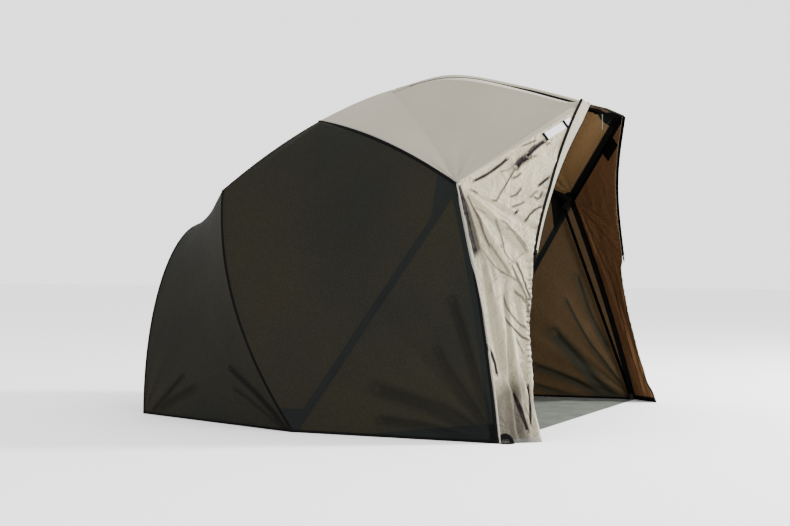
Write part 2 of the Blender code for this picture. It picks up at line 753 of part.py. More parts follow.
def roof_rays():
    """The pale roof as rays from the crown to its border, round from the rear seam and back."""
    rear, side = part_of(REAR_RIB, 0.0, REAR_SEAM_SHARE), part_of(SIDE_RIB, 0.0, SHOULDER_SHARE)
    sectors = (
        (rear, side, straight(REAR_SEAM, SHOULDER), PANEL_STEPS // 2),
        (side, FRONT_RIB, ROOF_SEAM, PANEL_STEPS),
        (FRONT_RIB, RIDGE, cornered(FRONT_KNEE, PEAK_CORNER, PEAK_MIDDLE), PANEL_STEPS),
    )
    right = []
    for first, last, rim, steps in sectors:
        point = patch(lambda u: CROWN, rim, first, last)
        right += [[point(u, v) for v in shares(ROOF_RINGS)[1:]] for u in shares(steps)[:-1]]
    right.append([RIDGE(v) for v in shares(ROOF_RINGS)[1:]])
    right = np.array(right)
    rays = np.concatenate([right, on_side(right, LEFT_SHARE)[-2:0:-1]])
    last = rays[:, -2] - rays[:, -1]
    rays[:, -1] += last * (SEAM_GAP / 2 / np.linalg.norm(last, axis=1))[:, None]
    return rays


def rear_roof_grid():
    """The dark roof behind the rear seam, down to the hoop's top and the side knees."""
    side = part_of(SIDE_RIB, SHOULDER_SHARE, 1.0)
    half = patch(straight(REAR_SEAM, SHOULDER), straight(HOOP_TOP, SIDE_KNEE),
                 part_of(REAR_RIB, REAR_SEAM_SHARE, 1.0), side)
    return mirrored_half(grid_of(half, shares(PANEL_STEPS // 2), shares(PANEL_STEPS)))


def side_grids():
    """The panels of the right side, by name."""
    strip = straight(FRONT_KNEE, SIDE_FOOT)
    wall = patch(ROOF_SEAM, SIDE_SEAM, part_of(SIDE_RIB, SHOULDER_SHARE, 1.0), strip)
    rear = patch(straight(SIDE_KNEE, HOOP_TOP), straight(SIDE_FOOT, HOOP_FOOT), SIDE_SEAM, HOOP)
    steps = shares(PANEL_STEPS)
    downs = [steps[1] * TIP_SHARE, *steps[1:]]
    quarter = np.array([[strip(t) * (1 - s) + FRONT_SEAM(t) * s for s in shares(PANEL_STEPS // 2)] for t in downs])
    return {
        "wall_panel": grid_of(wall, steps, steps),
        "wall_quarter_panel": quarter,
        "front_panel": grid_of(FRONT_PANEL, steps, shares(DOOR_STEPS)),
        "rear_side_panel": grid_of(rear, steps, steps),
    }


def rear_wall_grid():
    """The upright panel inside the rear hoop."""
    edge = [HOOP(t) for t in shares(PANEL_STEPS)]
    edge[0] = (edge[0] + edge[1]) / 2
    across = shares(PANEL_STEPS, LEFT_SHARE, RIGHT_SHARE)
    return np.array([[on_side(point, s) for s in across] for point in edge])


def groundsheet():
    """A flat sheet between the feet, clear of the walls."""
    right = [HOOP_FOOT, SIDE_FOOT, FRONT_FOOT]
    outline = [*right, *[on_side(p, LEFT_SHARE) for p in reversed(right)]]
    drawn_in = []
    for before, here, after in zip(outline[-1:] + outline[:-1], outline, outline[1:] + outline[:1]):
        first = np.cross(UP, unit(here - before))
        second = np.cross(UP, unit(after - here))
        inward = unit(first + second)
        if np.dot(inward, here) > 0:
            inward = -inward
        drawn_in.append(here + inward * (GROUNDSHEET_CLEARANCE / abs(np.dot(inward, first))))
    flat = np.array(drawn_in)
    return loft([flat, flat + UP * GROUNDSHEET_THICKNESS])


def half_moon(corner, beyond):
    """A tab flat on the ground outside an edge, near its corner."""
    way = unit(beyond - corner)
    out = np.cross(UP, way)
    if np.dot(out, corner) < 0:
        out = -out
    centre = corner + way * PEG_TAB_FROM_CORNER + out * (FABRIC + 2 * GAP)
    turns = math.pi * shares(PEG_TAB_STEPS)
    flat = np.array([centre + PEG_TAB_RADIUS * (math.cos(a) * way + math.sin(a) * out) for a in turns])
    return loft([flat, flat + UP * PEG_TAB_THICKNESS])


def zip_track():
    """The right door edge's tape and teeth, from the peak to where the zip ends."""
    rows = shares(DOOR_STEPS)[: round(DOOR_STEPS * ZIP_END_SHARE) + 1]
    grid = np.array([[DOOR_EDGE.point(t, inset) for inset in (0.0, ZIP_WIDTH + SEAM_GAP)] for t in rows])
    return sheet(trimmed(grid, SEAM_GAP / 2), ZIP_THICKNESS, INSIDE)


def zip_slider():
    """The slider at the zip's lower end and the tab that hangs from it."""
    share = ZIP_END_SHARE - SLIDER_LENGTH / (2 * DOOR_EDGE.half_turn * DOOR_EDGE.radius)
    way = unit(DOOR_EDGE.along(share))
    across = DOOR_EDGE.outward(share)
    rest = DOOR_EDGE.point(share, SEAM_GAP / 2 + ZIP_WIDTH / 2)
    lift = ZIP_THICKNESS + GAP + SLIDER_THICKNESS / 2
    half_width, half_length, half_tab = SLIDER_WIDTH / 2, SLIDER_LENGTH / 2, TAB_WIDTH / 2
    block = [(-half_width, -half_length), (half_width, -half_length), (half_width, half_length),
             (-half_width, half_length)]
    first = half_length + GAP
    tab = [(-half_tab, first), (half_tab, first), (half_width, first + TAB_LENGTH / 2),
           (half_tab, first + TAB_LENGTH), (-half_tab, first + TAB_LENGTH), (-half_width, first + TAB_LENGTH / 2)]
    centre = rest + DOOR_EDGE.normal * lift
    slider = prism(centre, across, DOOR_EDGE.normal, way, block, SLIDER_THICKNESS / 2)
    hanging = prism(centre, across, DOOR_EDGE.normal, way, tab, TAB_THICKNESS / 2)
    return slider, hanging


def build_frame(parts, finish):
    """Hub, ribs, knees, legs and feet."""
    parts.body("hub", HUB_CENTRE, "canopy")
    body = rod(HUB_CENTRE, UP, HUB_RADIUS, HUB_THICKNESS, HUB_SIDES)
    parts.add("hub_body", body, "hub", finish["plastic"], cut=[hub_slots(), hub_ring(PIN_RADIUS + GAP)])
    parts.add("hub_ring", hub_ring(PIN_RADIUS), "hub", finish["steel"])
    cap_foot = HUB_CENTRE + UP * (HUB_THICKNESS / 2 + GAP)
    cap_height = CROWN_HEIGHT - HUB_CAP_TOP_DROP - cap_foot[2]
    cap = rod(cap_foot + UP * cap_height / 2, UP, HUB_CAP_RADIUS, cap_height, HUB_SIDES // 2, HUB_CAP_TOP_RADIUS)
    parts.add("hub_cap", cap, "hub", finish["plastic"])

    parts.body("peak_rib", PEAK_RIB.pin, "hub")
    peak = tube(PEAK_RIB.path, PEAK_RIB.axis, flat_rings=2)
    parts.add("peak_rib", peak, "peak_rib", finish["tube"], cut=[ring_hole(PEAK_RIB)])
    half = BRACKET_HALF_HEIGHT
    block = [(0.0, -half), (BRACKET_LENGTH, -half), (BRACKET_LENGTH, half), (0.0, half)]
    above = np.cross(vec(1, 0, 0), -DIPPED)
    bracket = prism(BRACKET_FRONT, -DIPPED, vec(1, 0, 0), above, block, BRACKET_HALF_WIDTH)
    parts.add("crossbar_bracket", bracket, "peak_rib", finish["plastic"])
    length = 2 * (PEAK_HALF - CROSSBAR_END_INSET)
    crossbar = rod(CROSSBAR_CENTRE, vec(1, 0, 0), CROSSBAR_RADIUS, length, TUBE_SIDES * 2)
    parts.add("peak_crossbar", crossbar, "peak_rib", finish["tube"])
    top = CROSSBAR_CENTRE - UP * (CROSSBAR_RADIUS + GAP)
    low = top + vec(-LOOP_WIDTH / 2, -LOOP_THICKNESS / 2, -LOOP_LENGTH)
    high = top + vec(LOOP_WIDTH / 2, LOOP_THICKNESS / 2, 0)
    parts.add("hanging_loop", box(low, high), "peak_rib", finish["webbing"])

    for name, side in SIDES:
        for place, arm, knee, corner in (
            ("front", FRONT_ARM, FRONT_HINGE, FRONT_FOOT),
            ("side", SIDE_ARM, SIDE_HINGE, SIDE_FOOT),
        ):
            arm_body, leg_body = f"{name}_{place}_arm", f"{name}_{place}_leg"
            parts.body(arm_body, on_side(arm.pin, side), "hub")
            parts.body(leg_body, on_side(knee.pin, side), arm_body)
            limb = tube(arm.path, arm.axis, flat_rings=2)
            parts.add(arm_body, limb, arm_body, finish["tube"], side, cut=[ring_hole(arm)])
            block, opening = fork(knee)
            parts.add(f"{name}_{place}_knee", block, arm_body, finish["plastic"], side, cut=[opening])
            parts.add(f"{name}_{place}_knee_pin", pin(knee.pin, knee.axis), arm_body, finish["steel"], side)
            leg, foot = leg_and_foot(knee.pin, knee.axis, inset_foot(corner))
            parts.add(leg_body, leg, leg_body, finish["tube"], side, cut=[pin_hole(knee.pin, knee.axis)])
            parts.add(f"{name}_{place}_foot", foot, leg_body, finish["rubber"], side)

    parts.body("rear_arm", REAR_ARM.pin, "hub")
    rear = tube(REAR_ARM.path, REAR_ARM.axis, flat_rings=2)
    parts.add("rear_arm", rear, "rear_arm", finish["tube"], cut=[ring_hole(REAR_ARM)])
    block, opening = fork(REAR_HINGE)
    parts.add("rear_knee", block, "rear_arm", finish["plastic"], cut=[opening])
    parts.add("rear_knee_pin", pin(REAR_HINGE.pin, REAR_AXIS), "rear_arm", finish["steel"])
    parts.body("hoop_yoke", REAR_HINGE.pin, "rear_arm")
    block, slot, tongue = yoke()
    hole = pin_hole(REAR_HINGE.pin, REAR_AXIS)
    parts.add("hoop_yoke", tongue, "hoop_yoke", finish["plastic"], join=[block], cut=[slot, hole])
    for name, side in SIDES:
        parts.add(f"{name}_hoop_pin", pin(HOOP_PIN, HOOP_AXIS), "hoop_yoke", finish["steel"], side)
        body_name = f"{name}_hoop_leg"
        parts.body(body_name, on_side(HOOP_PIN, side), "hoop_yoke")
        leg, foot = hoop_leg_and_foot()
        parts.add(body_name, leg, body_name, finish["tube"], side, cut=[pin_hole(HOOP_PIN, HOOP_AXIS)])
        parts.add(f"{name}_hoop_foot", foot, body_name, finish["rubber"], side)


def build_canopy(parts, finish):
    """Fabric panels, groundsheet, tabs, label and zips."""
    tones = {
        "wall_panel": "olive",
        "wall_quarter_panel": "olive",
        "front_panel": "beige",
        "rear_side_panel": "olive",
    }
    parts.add("roof_panel", round_sheet(CROWN, roof_rays(), FABRIC), "canopy", finish["beige"])
    rear_roof = sheet(trimmed(rear_roof_grid(), SEAM_GAP / 2), FABRIC, INSIDE)
    parts.add("rear_roof_panel", rear_roof, "canopy", finish["olive"])
    rear_wall = sheet(trimmed(rear_wall_grid(), SEAM_GAP / 2), FABRIC, INSIDE)
    parts.add("rear_wall_panel", rear_wall, "canopy", finish["olive"])
    for name, side in SIDES:
        for panel, grid in side_grids().items():
            solid = sheet(trimmed(grid, SEAM_GAP / 2), FABRIC, INSIDE)
            parts.add(f"{name}_{panel}", solid, "canopy", finish[tones[panel]], side)
    parts.add("groundsheet", groundsheet(), "canopy", finish["groundsheet"])

    columns = shares(2, LABEL_START_SHARE, LABEL_END_SHARE)
    rows = shares(1, LABEL_TOP_SHARE, LABEL_FOOT_SHARE)
    label = sheet(grid_of(FRONT_PANEL, columns, rows), LABEL_THICKNESS, INSIDE, FABRIC + GAP)
    parts.add("label_patch", label, "canopy", finish["label"], LEFT_SHARE)

    for name, side in SIDES:
        parts.add(f"{name}_peg_tab", half_moon(FRONT_FOOT, DOOR_FOOT), "canopy", finish["webbing"], side)
        parts.add(f"{name}_door_zip", zip_track(), "canopy", finish["webbing"], side)
        parts.body(f"{name}_zip_slider", on_side(DOOR_EDGE.centre, side), f"{name}_front_leg")
        slider, tab = zip_slider()
        parts.add(f"{name}_zip_slider", slider, f"{name}_zip_slider", finish["steel"], side)
        parts.add(f"{name}_zip_tab", tab, f"{name}_zip_slider", finish["webbing"], side)


def report():
    """Print each joint's place and axis, for the left and the right."""
    joints = {
        "peak_rib": (PEAK_RIB.pin, PEAK_RIB.axis),
        "rear_arm": (REAR_ARM.pin, REAR_ARM.axis),
        "front_arm": (FRONT_ARM.pin, FRONT_ARM.axis),
        "side_arm": (SIDE_ARM.pin, SIDE_ARM.axis),
        "front_leg": (FRONT_HINGE.pin, FRONT_AXIS),
        "side_leg": (SIDE_HINGE.pin, SIDE_AXIS),
        "hoop_yoke": (REAR_HINGE.pin, REAR_AXIS),
        "hoop_leg": (HOOP_PIN, HOOP_AXIS),
        "zip_slider": (DOOR_EDGE.centre, -DOOR_EDGE.axis_down()),
    }
    for name, (place, axis) in joints.items():
        for side_name, side in SIDES:
            at = np.round(on_side(place, side), 6).tolist()
            print("joint", side_name, name, at, np.round(mirror_axis(axis, side), 6).tolist())
    print("door edge turn", round(math.degrees(2 * DOOR_EDGE.half_turn), 3))


def main():
    """Clear the scene and build every sub-part."""
    for old in list(bpy.data.objects):
        bpy.data.objects.remove(old)
    finish = {
        "beige": material("roof_fabric", (0.50, 0.47, 0.39), 0.8),
        "olive": material("wall_fabric", (0.055, 0.052, 0.040), 0.8),
        "groundsheet": material("groundsheet_fabric", (0.26, 0.30, 0.24), 0.7),
        "webbing": material("black_webbing", (0.015, 0.015, 0.015), 0.8),
        "label": material("label_cloth", (0.75, 0.75, 0.73), 0.7),
        "tube": material("coated_tube", (0.05, 0.05, 0.05), 0.4, 0.6),
        "plastic": material("black_plastic", (0.02, 0.02, 0.02), 0.5),
        "rubber": material("foot_rubber", (0.02, 0.02, 0.02), 0.9),
        "steel": material("pin_steel", (0.5, 0.5, 0.5), 0.35, 1.0),
    }
    parts = Assembly()
    parts.body("canopy", vec(0, 0, 0))
    build_frame(parts, finish)
    build_canopy(parts, finish)
    report()


main()
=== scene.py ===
"""The looks of an umbrella-framed fishing shelter: cloth panels, tapes, zips and finishes over its frame."""

import json
import math

import bpy
import numpy as np
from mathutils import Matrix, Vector


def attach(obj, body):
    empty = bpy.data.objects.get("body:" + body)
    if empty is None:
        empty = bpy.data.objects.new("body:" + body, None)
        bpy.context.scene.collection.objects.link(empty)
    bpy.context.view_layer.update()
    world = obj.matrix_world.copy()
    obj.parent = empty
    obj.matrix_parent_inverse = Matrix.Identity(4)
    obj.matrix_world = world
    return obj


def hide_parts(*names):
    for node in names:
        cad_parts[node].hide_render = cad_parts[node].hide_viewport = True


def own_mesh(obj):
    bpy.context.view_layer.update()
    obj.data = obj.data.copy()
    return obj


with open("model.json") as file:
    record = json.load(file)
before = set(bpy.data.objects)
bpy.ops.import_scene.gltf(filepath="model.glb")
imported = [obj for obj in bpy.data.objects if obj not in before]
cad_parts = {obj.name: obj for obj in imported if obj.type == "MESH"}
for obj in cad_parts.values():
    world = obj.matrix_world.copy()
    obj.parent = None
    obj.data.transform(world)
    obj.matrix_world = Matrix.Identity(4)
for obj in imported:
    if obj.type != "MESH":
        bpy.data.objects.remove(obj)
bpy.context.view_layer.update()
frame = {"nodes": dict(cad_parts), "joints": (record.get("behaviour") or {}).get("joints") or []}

UP = np.array([0.0, 0.0, 1.0])
SIDES = (("left", -1.0), ("right", 1.0))

# In metres: how thick cloth and trims are, how far off the cloth trims are sewn, and the groundsheet's inset
CLOTH = 0.0009
PATCH_CLOTH = 0.0006
OUTER_TAPE = 0.0010
INNER_TAPE = 0.0011
HEM_CLOTH = 0.0016
SLEEVE_CLOTH = 0.0030
OUTER_LIFT = 0.0008
INNER_LIFT = -0.0010
PIPING_LIFT = 0.0006
DOOR_LIFT = 0.0010
GROUND_INSET = 0.004

# Shares: of a sheet that a limb must carry, of a panel over which folds fade
CARRIED_SHARE = 0.06
BORDER_SHARE = 0.05

# The view: where it is taken from, which way it looks, its focal length and picture in pixels, and its sensor in mm
VIEW_PLACE = np.array([-6.368, -2.760, 0.67])
VIEW_WAY = np.array([0.918, 0.396, -0.0017])
VIEW_FOCUS = 1560.0
PICTURE = (790, 526)
SENSOR_WIDTH = 36.0


def vec(x, y, z):
    """One point or direction."""
    return np.array([x, y, z], dtype=float)


def unit(v):
    """The direction of v."""
    return v / np.linalg.norm(v)


def lengths(v):
    """Lengths of a row of vectors, kept as a column."""
    return np.maximum(np.linalg.norm(v, axis=-1, keepdims=True), 1e-12)


def straight(a, b):
    """A straight edge as a function of its share."""
    return lambda t: a + (b - a) * t


def bowed(a, b, bow):
    """An edge whose middle stands off its chord."""
    return lambda t: a + (b - a) * t + 4 * t * (1 - t) * bow


def part_of(edge, start, end):
    """The stretch of an edge between two shares."""
    return lambda t: edge(start + (end - start) * t)


def through(points):
    """A smooth edge through points."""
    ends = [2 * points[0] - points[1], *points, 2 * points[-1] - points[-2]]
    spans = len(points) - 1

    def edge(t):
        i = max(0, min(int(t * spans), spans - 1))
        s = t * spans - i
        a, b, c, d = ends[i : i + 4]
        return 0.5 * (2 * b + (c - a) * s + (2 * a - 5 * b + 4 * c - d) * s**2 + (3 * b - a - 3 * c + d) * s**3)

    return edge


def cornered(a, corner, b, share):
    """Two straight edges as one."""
    return lambda t: a + (corner - a) * min(t / share, 1) + (b - corner) * max(t - share, 0) / (1 - share)


def patch(foot, head, left, right):
    """The sheet spanned by four edges."""
    corners = foot(0.0), foot(1.0), head(0.0), head(1.0)

    def point(u, v):
        ruled = (1 - v) * foot(u) + v * head(u) + (1 - u) * left(v) + u * right(v)
        lower = (1 - u) * corners[0] + u * corners[1]
        upper = (1 - u) * corners[2] + u * corners[3]
        return ruled - (1 - v) * lower - v * upper

    return point


def grid_of(point, columns, rows):
    """A patch sampled on a grid of shares."""
    return np.array([[point(u, v) for u in columns] for v in rows])


def shares(count, start=0.0, end=1.0):
    """Evenly spaced shares."""
    return np.linspace(start, end, count + 1)


def grid_shares(grid):
    """The share across and the share along at each point of a grid."""
    rows, columns = grid.shape[:2]
    return np.meshgrid(shares(columns - 1), shares(rows - 1))


# Canopy corners on the right side, in metres, as the solids have them
CROWN = vec(0, 0.010, 1.426)
CREST = vec(0, -0.288, 1.477)
BROW = vec(0, -0.620, 1.413)
PEAK_MIDDLE = vec(0, -0.978, 1.310)
PEAK_CORNER = vec(0.266, -0.978, 1.303)
FRONT_KNEE = vec(0.762, -0.603, 0.964)
SIDE_KNEE = vec(0.737, 0.444, 0.960)
FRONT_FOOT = vec(0.988, -0.846, 0)
DOOR_FOOT = vec(0.873, -0.979, 0)
SIDE_FOOT = vec(0.943, 0.014, 0)
HOOP_FOOT = vec(0.533, 0.955, 0)
HOOP_TOP = vec(0, 0.955, 0.844)
INSIDE = vec(0, 0, 0.48)
DOOR_EDGE_BOW = 0.137
SHOULDER_SHARE = 0.44
REAR_SEAM_SHARE = 0.33


def hoop(t):
    """The rear hoop's seam, from its top to its right foot."""
    turn = math.pi / 2 * t
    return vec(HOOP_FOOT[0] * math.sin(turn), HOOP_FOOT[1], HOOP_TOP[2] * math.cos(turn))


RIDGE = through([CROWN, CREST, BROW, PEAK_MIDDLE])
FRONT_RIB = bowed(CROWN, FRONT_KNEE, UP * 0.030)
SIDE_RIB = bowed(CROWN, SIDE_KNEE, UP * 0.049)
REAR_RIB = bowed(CROWN, HOOP_TOP, UP * 0.030)
SHOULDER = SIDE_RIB(SHOULDER_SHARE)
REAR_SEAM = REAR_RIB(REAR_SEAM_SHARE)
ROOF_SEAM = bowed(SHOULDER, FRONT_KNEE, UP * 0.036)
FRONT_SEAM = bowed(FRONT_KNEE, FRONT_FOOT, vec(0, -0.016, 0))
SIDE_SEAM = bowed(SIDE_KNEE, SIDE_FOOT, vec(0.030, 0.085, 0))
STRIP = straight(FRONT_KNEE, SIDE_FOOT)
ROOF_RIM = cornered(FRONT_KNEE, PEAK_CORNER, PEAK_MIDDLE, 0.625)


def door_arc():
    """Centre, radius, half turn, and the two in-plane directions of the right door edge's arc."""
    span = DOOR_FOOT - PEAK_CORNER
    chord = np.linalg.norm(span)
    normal = unit(np.cross(FRONT_FOOT - FRONT_KNEE, PEAK_CORNER - FRONT_KNEE))
    normal = normal if np.dot(normal, FRONT_KNEE - INSIDE) > 0 else -normal
    away = unit(np.cross(span, normal))
    away = away if np.dot(away, FRONT_KNEE - PEAK_CORNER) > 0 else -away
    radius = chord**2 / (8 * DOOR_EDGE_BOW) + DOOR_EDGE_BOW / 2
    centre = (PEAK_CORNER + DOOR_FOOT) / 2 + away * (DOOR_EDGE_BOW - radius)
    return centre, radius, math.asin(chord / 2 / radius), away, unit(span), normal


DOOR_CENTRE, DOOR_RADIUS, DOOR_TURN, DOOR_AWAY, DOOR_DOWN, DOOR_NORMAL = door_arc()


def door_edge(share, inset=0.0):
    """A point of the right door edge, or inset towards the doorway."""
    turn = DOOR_TURN * (2 * share - 1)
    return DOOR_CENTRE + (DOOR_AWAY * math.cos(turn) + DOOR_DOWN * math.sin(turn)) * (DOOR_RADIUS - inset)


FRONT_PANEL = patch(straight(FRONT_KNEE, PEAK_CORNER), straight(FRONT_FOOT, DOOR_FOOT), FRONT_SEAM, door_edge)
WALL_PANEL = patch(ROOF_SEAM, SIDE_SEAM, part_of(SIDE_RIB, SHOULDER_SHARE, 1.0), STRIP)
REAR_SIDE = patch(straight(SIDE_KNEE, HOOP_TOP), straight(SIDE_FOOT, HOOP_FOOT), SIDE_SEAM, hoop)
REAR_ROOF = patch(
    straight(REAR_SEAM, SHOULDER),
    straight(HOOP_TOP, SIDE_KNEE),
    part_of(REAR_RIB, REAR_SEAM_SHARE, 1.0),
    part_of(SIDE_RIB, SHOULDER_SHARE, 1.0),
)


def quarter_panel(u, v):
    """The wall between the straight strip and the front seam."""
    return STRIP(v) * (1 - u) + FRONT_SEAM(v) * u


def joint_place(name):
    """A joint's pivot in the frame."""
    return np.array(next(j["pos_m"] for j in frame["joints"] if j["name"] == name))


def limbs():
    """Each rib, arm, leg and hoop pole as a line, by the body that carries the cloth near it."""
    found = {
        "peak_rib": [joint_place("peak_rib_fold"), vec(0, -0.5, 1.42), vec(0, -0.96, 1.29)],
        "rear_arm": [joint_place("rear_arm_fold"), joint_place("hoop_yoke_fold")],
    }
    for name, side in SIDES:
        mirror = vec(side, 1, 1)
        front, rear = joint_place(f"{name}_front_leg_fold"), joint_place(f"{name}_side_leg_fold")
        found[f"{name}_front_arm"] = [joint_place(f"{name}_front_arm_fold"), front]
        found[f"{name}_side_arm"] = [joint_place(f"{name}_side_arm_fold"), rear]
        found[f"{name}_front_leg"] = [front, FRONT_FOOT * mirror]
        found[f"{name}_side_leg"] = [rear, SIDE_FOOT * mirror]
        found[f"{name}_hoop_leg"] = [hoop(t) * mirror for t in shares(6)]
    return found


LIMBS = limbs()


def eased(share):
    """A share held between nothing and one, with soft ends."""
    held = np.clip(share, 0, 1)
    return held * held * (3 - 2 * held)


def distance_to(points, line):
    """How far points are from a line of straight runs."""
    flat = points.reshape(-1, 3)
    best = np.full(len(flat), 1e9)
    for a, b in zip(line, line[1:]):
        t = np.clip((flat - a) @ (b - a) / np.dot(b - a, b - a), 0, 1)
        best = np.minimum(best, np.linalg.norm(flat - a - t[:, None] * (b - a), axis=1))
    return best.reshape(points.shape[:-1])


def carriers(sheet):
    """The limbs that carry a fair share of a sheet, by name."""
    names = sorted(LIMBS)
    owners = np.array([distance_to(sheet.points, LIMBS[name]) for name in names]).argmin(axis=0)
    return [name for row, name in enumerate(names) if np.mean(owners == row) > CARRIED_SHARE]


# Folds
def fan(corner, along, reach, height, count, spread, phase):
    """Tension folds that run out from a corner, strongest along one direction, as a height over a panel."""
    def folds(points, normals):
        off = points - corner
        far = lengths(off)[..., 0]
        flat = off - np.sum(off * normals, axis=-1, keepdims=True) * normals
        way = flat / lengths(flat)
        side = np.cross(normals, along)
        side = side / lengths(side)
        turn = np.arctan2(np.sum(way * side, axis=-1), way @ along)
        ramp = np.clip(far / (0.18 * reach), 0, 1) * np.clip(1 - far / reach, 0, 1) ** 1.5
        waves = np.sin(count * turn + phase) + 0.5 * np.sin(2.3 * count * turn + 1.7 * phase)
        sharp = np.sign(waves) * np.abs(waves) ** 0.8
        return height * ramp * np.exp(-((turn / spread) ** 2)) * sharp

    return folds


def dents(points, size, height, seed):
    """Soft irregular unevenness of a given size."""
    rng = np.random.default_rng(seed)
    total = np.zeros(points.shape[:-1])
    for _ in range(9):
        way = unit(rng.normal(size=3)) * 2 * math.pi / size * rng.uniform(0.6, 1.5)
        total += np.sin(points @ way + rng.uniform(0, 2 * math.pi))
    return height * total / 3


def uneven(size, height, seed, stretch=(1, 1, 1)):
    """Unevenness as a height over a panel."""
    return lambda points, _: dents(points * np.array(stretch), size, height, seed)


def sight(x, y):
    """The direction from the view's place through a point of the picture."""
    ahead = unit(VIEW_WAY)
    right = unit(np.cross(ahead, UP))
    above = np.cross(right, ahead)
    return unit(ahead + right * (x - PICTURE[0] / 2) / VIEW_FOCUS - above * (y - PICTURE[1] / 2) / VIEW_FOCUS)


def seen_at(x, y, corners):
    """Where a point of the picture lies on the plane of three corners."""
    normal = np.cross(corners[1] - corners[0], corners[2] - corners[0])
    way = sight(x, y)
    return VIEW_PLACE + way * np.dot(corners[0] - VIEW_PLACE, normal) / np.dot(way, normal)


# Creases as the picture shows them: half width and depth in millimetres, darkness of their painted shade, and places
# in the picture
NEAR_FRONT_CREASES = (
    (3.2, 3.5, 1.0, (474, 181), (480, 178), (486, 175), (494, 169.5), (501, 164.4), (507, 159)),
    (8.0, 8.0, 0.9, (515, 168), (520, 161.5), (528, 156.5)),
    (4.5, 6.0, 0.9, (526, 157), (534, 149), (540, 144), (545, 141)),
    (2.0, 2.0, 0.6, (522.6, 146), (529, 143.5), (536, 140.4)),
    (2.2, 2.5, 0.7, (527, 153.2), (531, 148.5), (535.3, 145)),
    (2.5, 2.0, 0.6, (533, 157.3), (535.5, 156)),
    (2.2, 2.0, 0.6, (546, 145), (549.6, 143)),
    (2.0, 2.0, 0.6, (515, 168), (510.3, 176.6), (506.2, 183.8), (500.6, 193), (495.5, 201.6), (491.9, 201.1)),
    (1.8, 1.8, 0.4, (500.6, 172), (506.2, 171), (513, 167)),
    (2.4, 2.0, 0.6, (512.3, 178.7), (516.4, 177), (520.5, 173.6)),
    (3.0, 3.0, 0.9, (549, 177), (544, 181.2), (538.4, 185.8)),
    (2.4, 2.5, 0.7, (541, 206.7), (534, 210.3), (529, 215.4), (525, 221.5)),
    (2.6, 2.5, 0.6, (542.4, 192), (540.4, 197), (537.3, 199), (533.8, 197)),
    (2.6, 2.0, 0.5, (537.3, 191), (533.8, 193.5), (530, 197.5)),
    (2.4, 2.5, 0.6, (511.3, 207.8), (516.4, 205.7), (520.5, 204.2), (524, 202)),
    (2.6, 2.5, 0.8, (514.4, 214), (517.4, 210.8)),
    (2.6, 2.5, 0.6, (510.3, 197), (516.4, 194.5), (521, 188.4)),
    (2.0, 2.0, 0.6, (471.5, 190), (477, 193.5)),
    (2.2, 3.0, 0.6, (467, 196), (469.5, 201), (472, 207), (478.7, 220.5), (484, 234), (490, 247)),
    (2.0, 2.0, 0.4, (472, 207), (478.7, 210.3), (485.3, 213.4)),
    (2.6, 4.0, 0.4, (495, 220), (499, 229.7), (502, 242), (504, 254)),
    (2.6, 4.0, 0.45, (500, 221), (506, 225), (514.4, 235.8), (520.5, 243), (526.6, 252)),
    (2.6, 4.0, 0.4, (506, 228.7), (512.3, 231.7), (518.5, 238), (525.6, 248)),
    (2.6, 4.0, 0.4, (478, 246.7), (486, 257.4), (494, 266.8), (503.6, 273.5), (517, 281.6)),
    (2.6, 4.0, 0.4, (489, 242.7), (495.6, 253.4), (503.6, 265.5), (509, 275)),
    (2.6, 4.0, 0.4, (499.6, 245.4), (506.3, 257.4), (513, 264)),
    (3.0, 5.0, 0.6, (515.7, 262.8), (521, 275), (525, 288.3), (529, 299)),
    (3.0, 5.0, 0.5, (510.3, 265.5), (517, 280.2), (522.4, 292.3), (527, 304.3)),
    (2.6, 4.0, 0.5, (514.3, 291), (521, 297.6), (527, 307), (530, 315)),
    (2.6, 4.0, 0.5, (503.6, 296.3), (506.3, 307), (510.3, 315), (518.4, 323), (527.7, 331)),
    (2.8, 4.5, 0.6, (504.3, 317.7), (509, 325.8), (518.4, 333.8), (527.7, 342)),
    (2.6, 4.0, 0.4, (515.7, 339), (519.7, 347), (523, 354)),
    (1.6, 1.5, 0.3, (487.5, 285.6), (499.6, 276.2)),
    (1.6, 1.5, 0.3, (494, 300), (507.6, 292)),
    (1.6, 1.5, 0.3, (507.6, 265.5), (525, 252)),
    (13.0, 9.0, 0.25, (481.5, 261), (486, 287), (491.6, 320), (497, 347), (499.6, 374)),
    (9.0, 6.0, 0.2, (503.6, 280), (506.3, 320), (509, 354), (510.3, 385)),
    (3.6, 6.0, 0.9, (485.5, 346), (490, 354), (494, 364.7), (496, 375.4)),
    (5.0, 9.0, 0.9, (513, 391.5), (517, 403.5), (521, 415.6), (527, 431.7)),
    (3.4, 6.0, 0.8, (527.7, 385), (529, 401), (530, 425)),
)
FAR_QUARTER_CREASES = (
    (16.0, 10.0, -0.8, (620, 402), (600, 386), (583, 366), (568, 349), (554, 333)),
    (10.0, 8.0, -0.7, (616, 401), (594, 392), (574, 381), (552, 372), (534, 366)),
    (7.0, 6.0, -0.6, (610, 402), (575, 397), (534, 385)),
    (5.0, 5.0, -0.7, (621, 384), (606, 364), (590, 344), (577, 322), (565, 299)),
    (8.0, 6.0, -0.6, (608, 349), (598, 331), (588, 311), (577, 277)),
)
NEAR_QUARTER_CREASES = (
    (14.0, 8.0, 0.25, (494, 441), (470, 425), (440, 409), (400, 396), (376, 389)),
    (10.0, 7.0, 0.25, (494, 438), (478, 415), (462, 392), (447, 370), (437, 350)),
    (10.0, 6.0, 0.3, (494, 434), (484, 405), (474, 372), (462, 330), (452, 300)),
    (9.0, 6.0, 0.3, (491, 443), (462, 436), (425, 426), (380, 420)),
)
